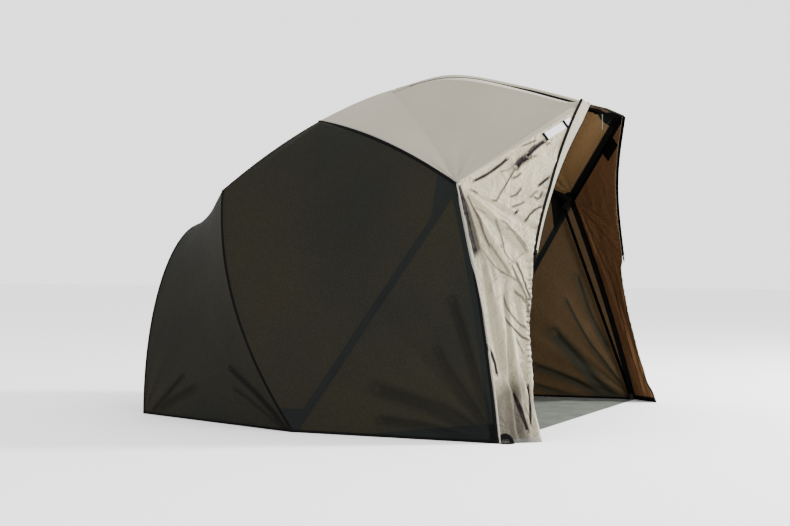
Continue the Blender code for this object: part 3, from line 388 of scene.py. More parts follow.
NEAR_REAR_CREASES = (
    (7.0, 6.0, 0.6, (288, 431), (276, 411), (262, 393), (246, 377), (236, 368)),
    (5.0, 4.0, 0.4, (286, 430), (268, 412), (252, 398), (238, 388)),
    (6.0, 5.0, 0.5, (153, 411), (164, 399), (176, 385), (184, 376)),
    (9.0, 5.0, 0.35, (160, 410), (178, 398), (196, 388)),
)


def creases(points, corners, strokes):
    """Height and painted shade of the sharp creases that run over a nearly flat panel."""
    normal = unit(np.cross(corners[1] - corners[0], corners[2] - corners[0]))
    flat = points - ((points - corners[0]) @ normal)[..., None] * normal
    lift, dark = np.zeros(points.shape[:-1]), np.zeros(points.shape[:-1])
    for half_width, depth, darkness, *run in strokes:
        line = [seen_at(x, y, corners) for x, y in run]
        far = distance_to(flat, line)
        ends = np.minimum(lengths(flat - line[0]), lengths(flat - line[-1]))[..., 0]
        taper = np.clip(ends / (0.0015 * half_width), 0.35, 1)
        near = np.exp(-((far / (half_width * 0.0012)) ** 2))
        wide = np.exp(-((far / (half_width * 0.0030)) ** 2))
        lift += depth * 0.001 * (0.45 * wide - near) * taper * np.sign(darkness)
        # Painted shade along each crease, below zero where it is seen from inside
        core = np.clip(1.7 * np.exp(-((far / (half_width * 0.0021)) ** 2)) - 0.2, 0, 1)
        shade = min(1.3 * abs(darkness), 1.0) * core * taper
        dark = np.where(darkness > 0, np.maximum(dark, shade), np.minimum(dark, -shade))
    return lift, dark


def raw_normals(grid):
    """Unit normals of a grid, whichever way they face."""
    normals = np.cross(np.gradient(grid, axis=1), np.gradient(grid, axis=0))
    return normals / lengths(normals)


def grid_normals(grid):
    """Unit normals of a grid, away from the inside of the shelter."""
    normals = raw_normals(grid)
    return normals if np.sum(normals * (grid - INSIDE)) > 0 else -normals


class Sheet:
    """A cloth surface: points, outward normals, painted shade of its folds (with any darker foot) outside and inside,
    shares, and triangles.
    """

    def __init__(self, data, triangles):
        self.data, self.triangles = data, triangles
        self.points, self.normals = data[:, :3], data[:, 3:6]
        self.u, self.v = data[:, 8], data[:, 9]

    @classmethod
    def of_grid(cls, grid, normals, dark=None, painted_height_shade=None):
        """A sheet over a grid: painted shade of its folds (with any darker foot) above zero is seen outside, and below
        zero inside.
        """
        u, v = grid_shares(grid)
        dark = np.zeros(u.shape) if dark is None else dark
        painted_height_shade = np.zeros(u.shape) if painted_height_shade is None else painted_height_shade
        # Outside, sunken folds get painted shade, and inside, raised ones do
        outer = np.clip(np.maximum(dark, 0) + np.maximum(-painted_height_shade, 0) * (1 - np.clip(dark, 0, 1)), 0, 1)
        inner = np.clip(np.maximum(-dark, 0) + np.maximum(painted_height_shade, 0) * (1 - np.clip(-dark, 0, 1)), 0, 1)
        data = np.concatenate([grid, normals, *[layer[..., None] for layer in (outer, inner, u, v)]], axis=2)
        index = np.arange(u.size).reshape(u.shape)
        a, b, c, d = index[:-1, :-1], index[:-1, 1:], index[1:, 1:], index[1:, :-1]
        first = np.stack([a, b, c], axis=-1).reshape(-1, 3)
        second = np.stack([a, c, d], axis=-1).reshape(-1, 3)
        return cls(data.reshape(-1, data.shape[2]), np.concatenate([first, second]))

    def area(self):
        """Its area in square metres."""
        a, b, c = (self.points[self.triangles[:, i]] for i in range(3))
        return float(np.linalg.norm(np.cross(b - a, c - a), axis=1).sum() / 2)

    def cut(self, value):
        """The parts where a value at its points is below zero and above it."""
        value = np.where(np.abs(value) < 1e-9, 1e-9, value)
        above = value[self.triangles] > 0
        count = above.sum(axis=1)
        fresh, places = [], {}

        def crossing(i, j):
            key = (min(i, j), max(i, j))
            if key not in places:
                a, b = key
                share = value[a] / (value[a] - value[b])
                row = self.data[a] * (1 - share) + self.data[b] * share
                row[3:6] = unit(row[3:6])
                places[key] = len(self.data) + len(fresh)
                fresh.append(row)
            return places[key]

        low, high = [self.triangles[count == 0]], [self.triangles[count == 3]]
        for triangle, ups in zip(self.triangles[(count > 0) & (count < 3)], above[(count > 0) & (count < 3)]):
            lone_is_up = ups.sum() == 1
            at = int(np.flatnonzero(ups == lone_is_up)[0])
            i, j, k = np.roll(triangle, -at)
            p, q = crossing(i, j), crossing(i, k)
            lone, rest = ([i, p, q],), ([p, j, k], [p, k, q])
            (high if lone_is_up else low).append(np.array(lone))
            (low if lone_is_up else high).append(np.array(rest))
        data = np.vstack([self.data, *fresh]) if fresh else self.data
        return Sheet(data, np.vstack(low)), Sheet(data, np.vstack(high))

    def within(self, *values):
        """The part where every value is below zero."""
        part = self
        for value in values:
            part = part.cut(value(part))[0]
        return part


def divided(sheet, names):
    """Cuts of a sheet by the limb that each part is nearest to."""
    name, *others = names
    if not others:
        return {name: sheet}
    rest_distance = np.min([distance_to(sheet.points, LIMBS[other]) for other in others], axis=0)
    own, rest = sheet.cut(distance_to(sheet.points, LIMBS[name]) - rest_distance)
    found = {name: own} if len(own.triangles) else {}
    return found | divided(rest, others) if len(rest.triangles) else found


def linked(name, data):
    """A new object in the scene."""
    made = bpy.data.objects.new(name, data)
    bpy.context.scene.collection.objects.link(made)
    return made


def shell_object(name, sheet, thickness, lift, finishes):
    """A closed thin cloth over a sheet: the outer face, the inner face and the rim."""
    used, flat = np.unique(sheet.triangles, return_inverse=True)
    triangles = flat.reshape(-1, 3)
    data = sheet.data[used]
    normals = data[:, 3:6]
    inner = data[:, :3] + normals * lift
    outer = inner + normals * thickness
    count = len(used)
    a, b, c = (outer[triangles[:, i]] for i in range(3))
    if np.sum(np.cross(b - a, c - a) * normals[triangles[:, 0]]) < 0:
        triangles = triangles[:, ::-1]
    edges = np.concatenate([triangles[:, [0, 1]], triangles[:, [1, 2]], triangles[:, [2, 0]]])
    _, first, times = np.unique(np.sort(edges, axis=1), axis=0, return_index=True, return_counts=True)
    rim = edges[first[times == 1]]
    walls = np.stack([rim[:, 1], rim[:, 0], rim[:, 0] + count, rim[:, 1] + count], axis=1)
    faces = [*(triangles + count).tolist(), *triangles[:, ::-1].tolist(), *walls.tolist()]
    mesh = bpy.data.meshes.new(name)
    mesh.from_pydata(np.vstack([inner, outer]).tolist(), [], faces)
    for finish in finishes:
        mesh.materials.append(finish)
    sizes = [len(triangles), len(triangles), len(walls)]
    mesh.polygons.foreach_set("material_index", np.repeat([0, len(finishes) - 1, 0], sizes).astype(np.int32))
    mesh.polygons.foreach_set("use_smooth", np.repeat([True, True, False], sizes))
    # Painted shade of folds and creases, and the darker foot of the front panels, kept per point for the finishes
    painted_shade_and_foot_dark = mesh.attributes.new("painted_shade_and_foot_dark", "FLOAT", "POINT")
    painted_shade_and_foot_dark.data.foreach_set("value", np.concatenate([data[:, 7], data[:, 6]]).astype(np.float32))
    loops = np.vstack([
        normals[triangles.ravel()],
        -normals[triangles[:, ::-1].ravel()],
        np.zeros((4 * len(walls), 3)),
    ])
    mesh.normals_split_custom_set(loops.tolist())
    return linked(name, mesh)


HOSTS = {}
CUTS = {}
TRIMS = {}


def fold_of(sheet, limb):
    """How cloth gathers on a limb: the direction in which it flattens, and a point of the limb."""
    line = LIMBS[limb]
    normal = unit(sheet.normals[np.unique(sheet.triangles)].mean(axis=0))
    return unit(np.cross(line[-1] - line[0], normal)), (line[0] + line[-1]) / 2


def cloth(name, sheet, finishes, stands_for=(), host=None, thickness=CLOTH, lift=0.0):
    """A cloth piece, cut half way between the limbs that carry it, each cut attached to its own limb."""
    if host is None:
        HOSTS[name] = carriers(sheet)
    for limb, cut in divided(sheet, HOSTS[host or name]).items():
        piece = shell_object(f"{name}_on_{limb}", cut, thickness, lift, finishes)
        if host is None:
            CUTS[name, limb] = (piece, cut, fold_of(cut, limb))
        else:
            TRIMS.setdefault((host, limb), []).append(piece)
        axis, anchor = CUTS[host or name, limb][2] if (host or name, limb) in CUTS else fold_of(cut, limb)
        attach(piece, limb)
        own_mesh(piece)
        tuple(axis)
        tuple(anchor)
        if stands_for:
            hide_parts(*stands_for)


def declare_cuts():
    """Takes up the tapes and bands sewn to each cut of a panel and works out the cut's flat size, which is not kept.
    """
    for (name, limb), (piece, cut, _) in CUTS.items():
        trims = TRIMS.pop((name, limb), [])
        for key in [key for key in TRIMS if key[0] == name and key not in CUTS]:
            trims += TRIMS.pop(key)
        size = cut_size(cut)
        min(cut.area(), size[0] * size[1])


def cut_size(sheet):
    """Width and length of the smallest flat piece of cloth that a cut can be made from."""
    points = sheet.points[np.unique(sheet.triangles)]
    flat = points - points.mean(axis=0)
    ways = np.linalg.svd(flat.T @ flat)[0].T
    best = None
    for turn in shares(36, 0.0, math.pi / 2):
        first = ways[0] * math.cos(turn) + ways[1] * math.sin(turn)
        second = ways[1] * math.cos(turn) - ways[0] * math.sin(turn)
        size = max(np.ptp(flat @ first), 0.012), max(np.ptp(flat @ second), 0.012)
        if best is None or size[0] * size[1] < best[0] * best[1]:
            best = size
    grow = max(1.0, math.sqrt(1.02 * sheet.area() / (best[0] * best[1])))
    return min(best) * grow, max(best) * grow


# Finishes
def node(tree, kind, inputs=(), **settings):
    """A node with its settings, and its inputs given as values or as sockets to link from."""
    row, column = divmod(len(tree.nodes), 6)
    made = tree.nodes.new(kind)
    made.location = (260 * column - 1600, -320 * row)
    for key, value in settings.items():
        setattr(made, key, value)
    for key, value in dict(inputs).items():
        if isinstance(value, bpy.types.NodeSocket):
            tree.links.new(value, made.inputs[key])
        else:
            made.inputs[key].default_value = value
    return made


def maths(tree, operation, *values):
    """One sum on numbers."""
    return node(tree, "ShaderNodeMath", dict(enumerate(values)), operation=operation).outputs[0]


def noise(tree, where, scale, detail=2.0, **more):
    """Noise of a given scale."""
    return node(tree, "ShaderNodeTexNoise", {"Vector": where, "Scale": scale, "Detail": detail, **more}).outputs["Fac"]


def ranged(tree, value, start, end, low, high):
    """A value carried from one range into another."""
    ends = {"From Min": start, "From Max": end, "To Min": low, "To Max": high}
    return node(tree, "ShaderNodeMapRange", {"Value": value, **ends}).outputs["Result"]


def object_place(tree):
    """The place on the object that textures are laid out by."""
    return node(tree, "ShaderNodeTexCoord").outputs["Object"]


def new_group(name, numbers, results):
    """An empty node group with its number inputs and its outputs."""
    tree = bpy.data.node_groups.new(name, "ShaderNodeTree")
    for key, value in numbers.items():
        tree.interface.new_socket(name=key, in_out="INPUT", socket_type="NodeSocketFloat").default_value = value
    for key in results:
        tree.interface.new_socket(name=key, in_out="OUTPUT", socket_type="NodeSocketFloat")
    return tree, node(tree, "NodeGroupInput").outputs, node(tree, "NodeGroupOutput").inputs


def weave_group():
    """Plain weave: crossing threads as a height, and the speckle of uneven yarn."""
    tree, start, end = new_group("plain_weave", {"Threads per metre": 700.0}, ("Height", "Speckle"))
    where = object_place(tree)
    waves = [
        node(tree, "ShaderNodeTexWave", {"Vector": where, "Scale": start["Threads per metre"], "Distortion": 0.4},
             wave_type="BANDS", bands_direction=band).outputs["Fac"]
        for band in "XYZ"
    ]
    crossed = maths(tree, "MAXIMUM", maths(tree, "MAXIMUM", waves[0], waves[1]), waves[2])
    tree.links.new(crossed, end["Height"])
    tree.links.new(noise(tree, where, 260.0, 3.0), end["Speckle"])
    return tree


def crumple_group():
    """Packing creases: thin ridges between soft facets, coarse and fine, as a height."""
    tree, start, end = new_group("packing_creases", {"Creases per metre": 12.0, "Fine share": 0.5}, ("Height",))
    where = object_place(tree)
    warp = node(tree, "ShaderNodeTexNoise", {"Vector": where, "Scale": 6.0, "Detail": 2.0}).outputs["Color"]
    bent = node(tree, "ShaderNodeVectorMath", {0: warp, 1: (0.16, 0.16, 0.16), 2: where},
                operation="MULTIPLY_ADD").outputs[0]
    coarse, fine = (
        maths(tree, "ABSOLUTE", maths(tree, "SUBTRACT", noise(
            tree, bent, maths(tree, "MULTIPLY", start["Creases per metre"], times), 1.0, Roughness=0.4), 0.5))
        for times in (1.0, 2.7)
    )
    total = maths(tree, "ADD", coarse, maths(tree, "MULTIPLY", fine, start["Fine share"]))
    tree.links.new(total, end["Height"])
    return tree


def low_darkening_group():
    """Darkening low down, in patches, as a mask."""
    tree, start, end = new_group("low_darkening", {"Reach": 0.25}, ("Mask",))
    where = object_place(tree)
    height = node(tree, "ShaderNodeSeparateXYZ", {0: where}).outputs["Z"]
    low = ranged(tree, height, 0.0, start["Reach"], 1.0, 0.0)
    tree.links.new(maths(tree, "MULTIPLY", low, noise(tree, where, 14.0, 6.0)), end["Mask"])
    return tree


def painted_shade_and_foot_dark_group():
    """Painted shade of deep folds and creases, with the darker foot of the front panels, broken up a little, as a
    mask.
    """
    tree, _, end = new_group("painted_shade_and_foot_dark_mask", {}, ("Mask",))
    fold = node(tree, "ShaderNodeAttribute", attribute_name="painted_shade_and_foot_dark").outputs["Fac"]
    broken = ranged(tree, noise(tree, object_place(tree), 45.0), 0.3, 0.55, 0.97, 1.0)
    tree.links.new(maths(tree, "MULTIPLY", fold, broken), end["Mask"])
    return tree


WEAVE, CRUMPLE, LOW_DARKENING_GROUP, PAINTED_SHADE_AND_FOOT_GROUP = weave_group(), crumple_group(), low_darkening_group(), painted_shade_and_foot_dark_group()


def grouped(tree, group, **values):
    """The outputs of a node group placed in a material with its own values."""
    return node(tree, "ShaderNodeGroup", {key.replace("_", " "): value for key, value in values.items()},
                node_tree=group).outputs


def blended(tree, share, first, second):
    """Two colours mixed by a mask."""
    colours = {"Factor": share, "A": first, "B": second}
    return node(tree, "ShaderNodeMix", {
        key: (*value, 1.0) if isinstance(value, tuple) else value for key, value in colours.items()
    }, data_type="RGBA").outputs["Result"]


def bumped(tree, height, strength, distance, **more):
    """A height as a change of the normal."""
    inputs = {"Strength": strength, "Distance": distance, "Height": height, **more}
    return node(tree, "ShaderNodeBump", inputs).outputs["Normal"]


def new_finish(name, **settings):
    """A material, with its shader's own values set; gives its tree and its shader's inputs too."""
    made = bpy.data.materials.new(name)
    made.use_nodes = True
    inputs = made.node_tree.nodes["Principled BSDF"].inputs
    for key, value in settings.items():
        inputs[key.replace("_", " ")].default_value = value
    return made, made.node_tree, inputs


def woven(name, colour, second, painted_shade_and_foot_dark, roughness=0.75, sheen=0.1, specular=0.25, threads=700.0, creases=12.0,
          crease_height=0.004, fine=0.5, broad_scale=2.2, speckle=0.12, low_darkening_reach=0.0, thread_height=0.0002):
    """Woven cloth: two tones in broad patches, yarn speckle, painted shade in fold valleys and a darker foot where
    marked, threads and packing creases.
    """
    made, tree, inputs = new_finish(name, Specular_IOR_Level=specular, Sheen_Weight=sheen, Sheen_Roughness=0.5)
    weave = grouped(tree, WEAVE, Threads_per_metre=threads)
    broad = noise(tree, object_place(tree), broad_scale, 3.0)
    tone = blended(tree, ranged(tree, broad, 0.38, 0.62, 0.0, 1.0), colour, second)
    yarn = ranged(tree, weave["Speckle"], 0.3, 0.7, 1 - speckle, 1 + speckle)
    last = node(tree, "ShaderNodeVectorMath", {0: tone, 1: yarn}, operation="MULTIPLY").outputs[0]
    if low_darkening_reach:
        # Darker towards the bottom, in patches
        last = blended(tree, grouped(tree, LOW_DARKENING_GROUP, Reach=low_darkening_reach)["Mask"], last, (0.16, 0.14, 0.12))
    # Painted shade of folds and creases, and the darker foot of the front panels, mixed towards its dark colour
    last = blended(tree, grouped(tree, PAINTED_SHADE_AND_FOOT_GROUP)["Mask"], last, painted_shade_and_foot_dark)
    packed = grouped(tree, CRUMPLE, Creases_per_metre=creases, Fine_share=fine)
    threads_bump = bumped(tree, weave["Height"], 0.4, thread_height)
    tree.links.new(last, inputs["Base Color"])
    tree.links.new(ranged(tree, broad, 0.0, 1.0, roughness - 0.1, roughness + 0.1), inputs["Roughness"])
    tree.links.new(bumped(tree, packed["Height"], 1.0, crease_height, Normal=threads_bump), inputs["Normal"])
    return made


def moulded(name, colour, roughness, metallic=0.0, grain=0.0003, scale=900.0, specular=0.5):
    """Moulded or coated solid with fine grain and rubbed patches."""
    made, tree, inputs = new_finish(name, Metallic=metallic, Specular_IOR_Level=specular)
    where = object_place(tree)
    rub = noise(tree, where, 22.0, 6.0)
    worn = tuple(min(1.0, 1.8 * c + 0.0005) for c in colour)
    tree.links.new(ranged(tree, rub, 0.0, 1.0, roughness - 0.12, roughness + 0.12), inputs["Roughness"])
    tree.links.new(blended(tree, rub, colour, worn), inputs["Base Color"])
    tree.links.new(bumped(tree, noise(tree, where, scale), 0.4, grain), inputs["Normal"])
    return made


# One cloth in lit and shaded copies: the roof and front cloths are painted sunlit, the front brightest, and the wall
# cloth is painted shaded
PAINTED_SUNLIT_ROOF_CLOTH = woven("painted_sunlit_roof_cloth", (0.235, 0.212, 0.158), (0.220, 0.198, 0.146), (0.06, 0.052, 0.04),
                   crease_height=0.0025, speckle=0.06)
PAINTED_SUNLIT_FRONT_CLOTH = woven("painted_sunlit_front_cloth", (0.360, 0.322, 0.228), (0.320, 0.285, 0.200), (0.010, 0.008, 0.009),
                    creases=18.0, crease_height=0.016, fine=0.6, roughness=0.7, sheen=0.0, specular=0.06,
                    speckle=0.05, low_darkening_reach=0.16)
PAINTED_SHADED_WALL_CLOTH = woven("painted_shaded_wall_cloth", (0.0128, 0.0117, 0.0076), (0.0098, 0.0100, 0.0082), (0.002, 0.002, 0.002),
                   crease_height=0.002, sheen=0.0, specular=0.05, roughness=0.85, broad_scale=1.6, speckle=0.35)
# The linings' browns and rust are painted light shining through the cloth from outside
PAINTED_BACKLIT_ROOF_LINING = woven("painted_backlit_roof_lining", (0.105, 0.060, 0.024), (0.092, 0.052, 0.020), (0.02, 0.016, 0.008),
                    crease_height=0.003, sheen=0.0, specular=0.1, speckle=0.3)
PAINTED_BACKLIT_WALL_LINING = woven("painted_backlit_wall_lining", (0.072, 0.045, 0.021), (0.058, 0.036, 0.017), (0.024, 0.023, 0.015),
                    crease_height=0.003, sheen=0.0, specular=0.1, speckle=0.35)
PAINTED_BACKLIT_FRONT_LINING = woven("painted_backlit_front_lining", (0.145, 0.072, 0.032), (0.120, 0.058, 0.025), (0.030, 0.017, 0.009),
                     crease_height=0.005, sheen=0.0, specular=0.1, speckle=0.35)
TAPE = woven("black_seam_tape", (0.0030, 0.0030, 0.0028), (0.0022, 0.0022, 0.0021), (0.001, 0.001, 0.001),
             threads=900.0, crease_height=0.001, roughness=0.8, sheen=0.0, specular=0.04, thread_height=0.00005)
# Slate tape for the inner strip and the foot half-moons; outside the walls the same finish is painted shadow of tapes,
# patches and hems inside, seen through the cloth
SLATE_TAPE_AND_PAINTED_SHADOW = woven("slate_tape_and_painted_shadow", (0.0072, 0.0086, 0.0080), (0.0060, 0.0074, 0.0070), (0.002, 0.002, 0.002),
                   threads=900.0, crease_height=0.001, roughness=0.8, sheen=0.0, specular=0.05, thread_height=0.00008)
BAND = woven("pale_edge_band", (0.34, 0.31, 0.235), (0.29, 0.265, 0.20), (0.03, 0.025, 0.02), threads=450.0,
             creases=60.0)
THREAD = woven("pale_thread", (0.16, 0.16, 0.15), (0.12, 0.12, 0.11), (0.05, 0.05, 0.05), crease_height=0.0005)
HEM_BAND = woven("grey_hem_band", (0.19, 0.172, 0.145), (0.155, 0.14, 0.12), (0.02, 0.02, 0.02), threads=450.0,
                 creases=50.0)
GROUND_CLOTH = woven("grey_green_groundsheet", (0.036, 0.050, 0.028), (0.018, 0.026, 0.014), (0.02, 0.02, 0.016),
                     creases=7.0, crease_height=0.008, roughness=0.55, broad_scale=9.0, speckle=0.3)
LABEL_CLOTH = woven("white_label_cloth", (0.60, 0.60, 0.62), (0.52, 0.52, 0.55), (0.3, 0.3, 0.3), threads=900.0,
                    crease_height=0.001, creases=30.0, speckle=0.03)
POLE = moulded("dark_pole_coat", (0.0007, 0.0007, 0.0007), 0.8, grain=0.0001, specular=0.0)
PLASTIC = moulded("black_moulding", (0.0020, 0.0020, 0.0020), 0.75, specular=0.02)
RUBBER = moulded("foot_rubber", (0.006, 0.006, 0.006), 0.8, specular=0.15)
# The pale hanging loop, darkened to the grey of painted shade inside the shelter
PAINTED_SHADED_LOOP_CORD = moulded("painted_shaded_loop_cord", (0.020, 0.023, 0.019), 0.8, scale=500.0, grain=0.0004, specular=0.1)
STEEL = moulded("pin_steel", (0.20, 0.20, 0.21), 0.4, metallic=1.0, grain=0.0001)


# Panels
def pinned(grid, lift, free_from=None):
    """The lift faded out at every border, so that panels meet along their seams, but not at a free door edge."""
    u, v = grid_shares(grid)
    right = 1 - u if free_from is None else np.maximum(1 - u, (v - free_from) / 2)
    return lift * eased(np.minimum.reduce([u, right, v, 1 - v]) / BORDER_SHARE)


def folded_panel(grid, folds, corners=None, strokes=(), free_from=None, painted_shade_strength=0.0, dark=None):
    """A panel's sheet once its folds and creases have lifted it; deep folds get painted shade by their height."""
    normals = grid_normals(grid)
    lift = sum(fold(grid, normals) for fold in folds)
    # Painted shade by the height of the folds
    painted_height_shade = painted_shade_strength * lift / max(np.abs(lift).max(), 1e-9)
    dark = np.zeros(lift.shape) if dark is None else dark
    if strokes:
        raised, lines = creases(grid, corners, strokes)
        lift = lift + raised
        dark = np.where(np.abs(lines) > np.abs(dark), lines, dark)
    grid = grid + normals * pinned(grid, lift, free_from)[:, :, None]
    return Sheet.of_grid(grid, grid_normals(grid), dark, painted_height_shade)


def mirrored(point, side):
    """A patch on the left or the right side."""
    return lambda u, v: point(u, v) * vec(side, 1, 1)


def towards(a, b):
    """The direction from one place to another."""
    return unit(b - a)


def roof_sheet():
    """The roof as one sheet, round from the rear seam and back, out from the crown; its pale colour is painted
    sunlight.
    """
    rear, side = part_of(REAR_RIB, 0.0, REAR_SEAM_SHARE), part_of(SIDE_RIB, 0.0, SHOULDER_SHARE)
    sectors = (
        (rear, side, straight(REAR_SEAM, SHOULDER), 24),
        (side, FRONT_RIB, ROOF_SEAM, 76),
        (FRONT_RIB, RIDGE, ROOF_RIM, 80),
    )
    rings = shares(90)
    right = []
    for first, last, rim, steps in sectors:
        point = patch(lambda u: CROWN, rim, first, last)
        right += [[point(u, v) for v in rings] for u in shares(steps)[:-1]]
    right.append([RIDGE(v) for v in rings])
    right = np.array(right)
    rays = np.concatenate([right, (right * vec(-1, 1, 1))[-2:0:-1], right[:1]])

    def normals_of(rays):
        wrapped = np.concatenate([rays[-3:-1], rays, rays[1:3]])
        normals = np.cross(np.gradient(wrapped, axis=0), np.gradient(wrapped, axis=1))[2:-2]
        normals[:, 0] = UP
        return normals / lengths(normals) * np.sign(normals[:, :, 2:])

    normals = normals_of(rays)
    lift = dents(rays, 0.5, 0.0010, 3)
    for _, sign in SIDES:
        m = vec(sign, 1, 1)
        knee, shoulder, peak = FRONT_KNEE * m, SHOULDER * m, PEAK_CORNER * m
        for folds in (
            fan(knee, towards(knee, CREST), 0.34, 0.0070, 19, 0.55, 1.0),
            fan(knee, towards(knee, shoulder), 0.30, 0.0050, 23, 0.35, 2.0),
            fan(peak, unit(vec(-0.2 * sign, 0.9, 0.2)), 0.3, 0.003, 14, 0.8, 0.4),
        ):
            lift += folds(rays, normals)
    edge = np.clip((1 - rings) / BORDER_SHARE, 0, 1)
    # Painted shade by the height of the roof's folds
    painted_height_shade = 0.35 * np.clip(lift / 0.007, -1, 1)
    seam_off = np.minimum(*[
        distance_to(rays, [FRONT_KNEE * vec(s, 1, 1), PEAK_CORNER * vec(s, 1, 1)]) for _, s in SIDES
    ])
    fall = eased((np.abs(rays[..., 0]) - 0.010) / 0.022) * eased((seam_off - 0.03) / 0.09)
    lift -= fall * (0.003 + 0.013 * eased(-(rays[..., 1] + 0.35) / 0.45)) * eased(-(rays[..., 1] + 0.05) / 0.3)
    rays = rays + normals * (lift * edge)[:, :, None]
    return Sheet.of_grid(rays, normals_of(rays), painted_height_shade=painted_height_shade)


def front_folds(side):
    """The long soft folds of a front panel, and the puckers along its free edge."""
    m = vec(side, 1, 1)
    knee, foot, door_foot, middle = FRONT_KNEE * m, FRONT_FOOT * m, DOOR_FOOT * m, door_edge(0.5) * m
    door = [door_edge(t) * m for t in shares(40)]

    def puckers(grid, _):
        off = distance_to(grid, door)
        down = np.clip((1.05 - grid[..., 2]) / 0.1, 0, 1) * np.clip((grid[..., 2] - 0.1) / 0.2, 0, 1)
        waves = np.sin(grid[..., 2] * 2 * math.pi / 0.026) + np.sin(grid[..., 2] * 2 * math.pi / 0.041 + 1.3)
        return 0.0024 * waves * np.exp(-((off / 0.035) ** 2)) * down

    def pleats(grid, _):
        across = grid @ unit(door_foot - foot)
        low = np.clip((0.75 - grid[..., 2]) / 0.5, 0, 1)
        wander = 0.012 * np.sin(grid[..., 2] * 6.0)
        waves = np.sin((across + wander) * 2 * math.pi / 0.052) + 0.6 * np.sin(across * 2 * math.pi / 0.031)
        return 0.0050 * low * waves

    return [
        fan(knee, towards(knee, middle), 0.9, 0.0070, 17, 0.5, 0.3),
        fan(knee, towards(knee, door_foot), 1.1, 0.0090, 19, 0.3, 1.7),
        fan(door_foot, towards(door_foot, knee), 0.9, 0.0070, 19, 0.3, 1.1),
        uneven(0.09, 0.0014, 11, (1, 1, 0.45)),
        uneven(0.24, 0.0022, 12),
        puckers,
        pleats,
    ]


def free_inset(t, near):
    """How far a front panel's edge stands off the door's arc towards the doorway, as the cloth pulls it."""
    lower = float(eased((t - 0.505) / 0.05) * eased((1 - t) / 0.10))
    if near:
        return lower * (0.006 - 0.011 * float(eased((t - 0.82) / 0.08)))
    return -0.014 * math.sin(math.pi * min(t / 0.5, 1.0)) ** 2 - 0.022 * lower


def zip_inset(t, near):
    """How far the zip stands off the door's arc towards the doorway."""
    return -0.034 * max(0.0, 1 - t / 0.3) ** 1.2 if near else free_inset(t, near)


# The groove beside a front seam, by the share of the way down: where its painted shadow starts, and where its black
# and its grey end, in mm
GROOVE_PLACES = (0.0, 0.04, 0.10, 0.16, 0.22, 0.29, 0.34)
GROOVE_RUNS = ((-3, -2, 0, 3, 3, 6, 9), (13, 16, 22, 24, 26, 32, 34), (13, 17, 32, 38, 43, 46, 47))


def seam_groove(off, v):
    """The painted shadow in the groove beside a front seam, the soft painted shade beyond it, and where the groove
    ends.
    """
    start, middle, end = (np.interp(v, GROOVE_PLACES, run) / 1000 for run in GROOVE_RUNS)
    black = eased((off - start) / 0.002) * eased((middle - off) / 0.003)
    grey = 0.84 * eased((off - start) / 0.002) * eased((end - off) / 0.006)
    groove = np.maximum(black, grey) * eased((v - 0.004) / 0.01) * eased((0.33 - v) / 0.05)
    down = np.clip(v / 0.36, 0, 1)
    soft = np.exp(-(((off - end) / (0.02 + 0.03 * down)) ** 2)) * np.clip((0.62 - v) / 0.3, 0, 1) * down
    return groove, soft, end


def edge_ticks(height, off):
    """Painted shade of short folds along the lower door edge, by height and by how far off the edge they are."""
    ticks = eased((np.sin(height * 330 + 1.5 * np.sin(height * 31)) - 0.2) / 0.5)
    ticks = ticks * eased((height - 0.22) / 0.1) * eased((0.66 - height) / 0.1)
    return 0.8 * ticks * eased((0.026 - off) / 0.016)


def front_panel(side):
    """A front panel: the near one with the creases that the picture shows, the far one with weaker folds alone."""
    near = side < 0
    m = vec(side, 1, 1)
    panel = patch(straight(FRONT_KNEE, PEAK_CORNER), straight(FRONT_FOOT, DOOR_FOOT), FRONT_SEAM,
                  lambda t: door_edge(t, free_inset(t, near)))
    grid = grid_of(mirrored(panel, side), shares(180 if near else 90), shares(300 if near else 150))
    u, v = grid_shares(grid)
    off = distance_to(grid, [FRONT_SEAM(t) * m for t in shares(30)])
    # groove and soft: painted shadow in the seam's groove and painted shade beyond it
    groove, soft, end = seam_groove(off, v)
    # foot and low: the cloth made darker towards the foot and in the lower middle
    foot = 0.80 * np.clip((v - 0.74) / 0.10, 0, 1) * np.clip((0.90 - u) / 0.22, 0, 1)
    low = 0.38 * np.clip((v - 0.52) / 0.18, 0, 1) * np.exp(-(((u - 0.35) / 0.28) ** 2))
    dark = np.maximum.reduce([groove, 0.45 * soft, foot, low])
    if near:
        # Painted shade of small folds along the door edge
        door = [panel(1.0, t) * m for t in shares(60)]
        dark = np.maximum(dark, edge_ticks(grid[..., 2], distance_to(grid, door)))
    label = [FRONT_PANEL(t, 0.017) * m for t in (0.64, 0.88)]
    off_label = np.clip((distance_to(grid, label) - 0.028) / 0.03, 0, 1)
    amount = off_label * eased((off - end) / 0.02) * (1.0 if near else 0.5)
    folds = [*[lambda g, n, fold=fold: amount * fold(g, n) for fold in front_folds(side)],
             lambda g, n: -0.006 * groove - 0.003 * soft]
    corners = [FRONT_KNEE * m, FRONT_FOOT * m, PEAK_CORNER * m]
    return folded_panel(grid, folds, corners, NEAR_FRONT_CREASES if near else (), 0.5, 0.32, dark)


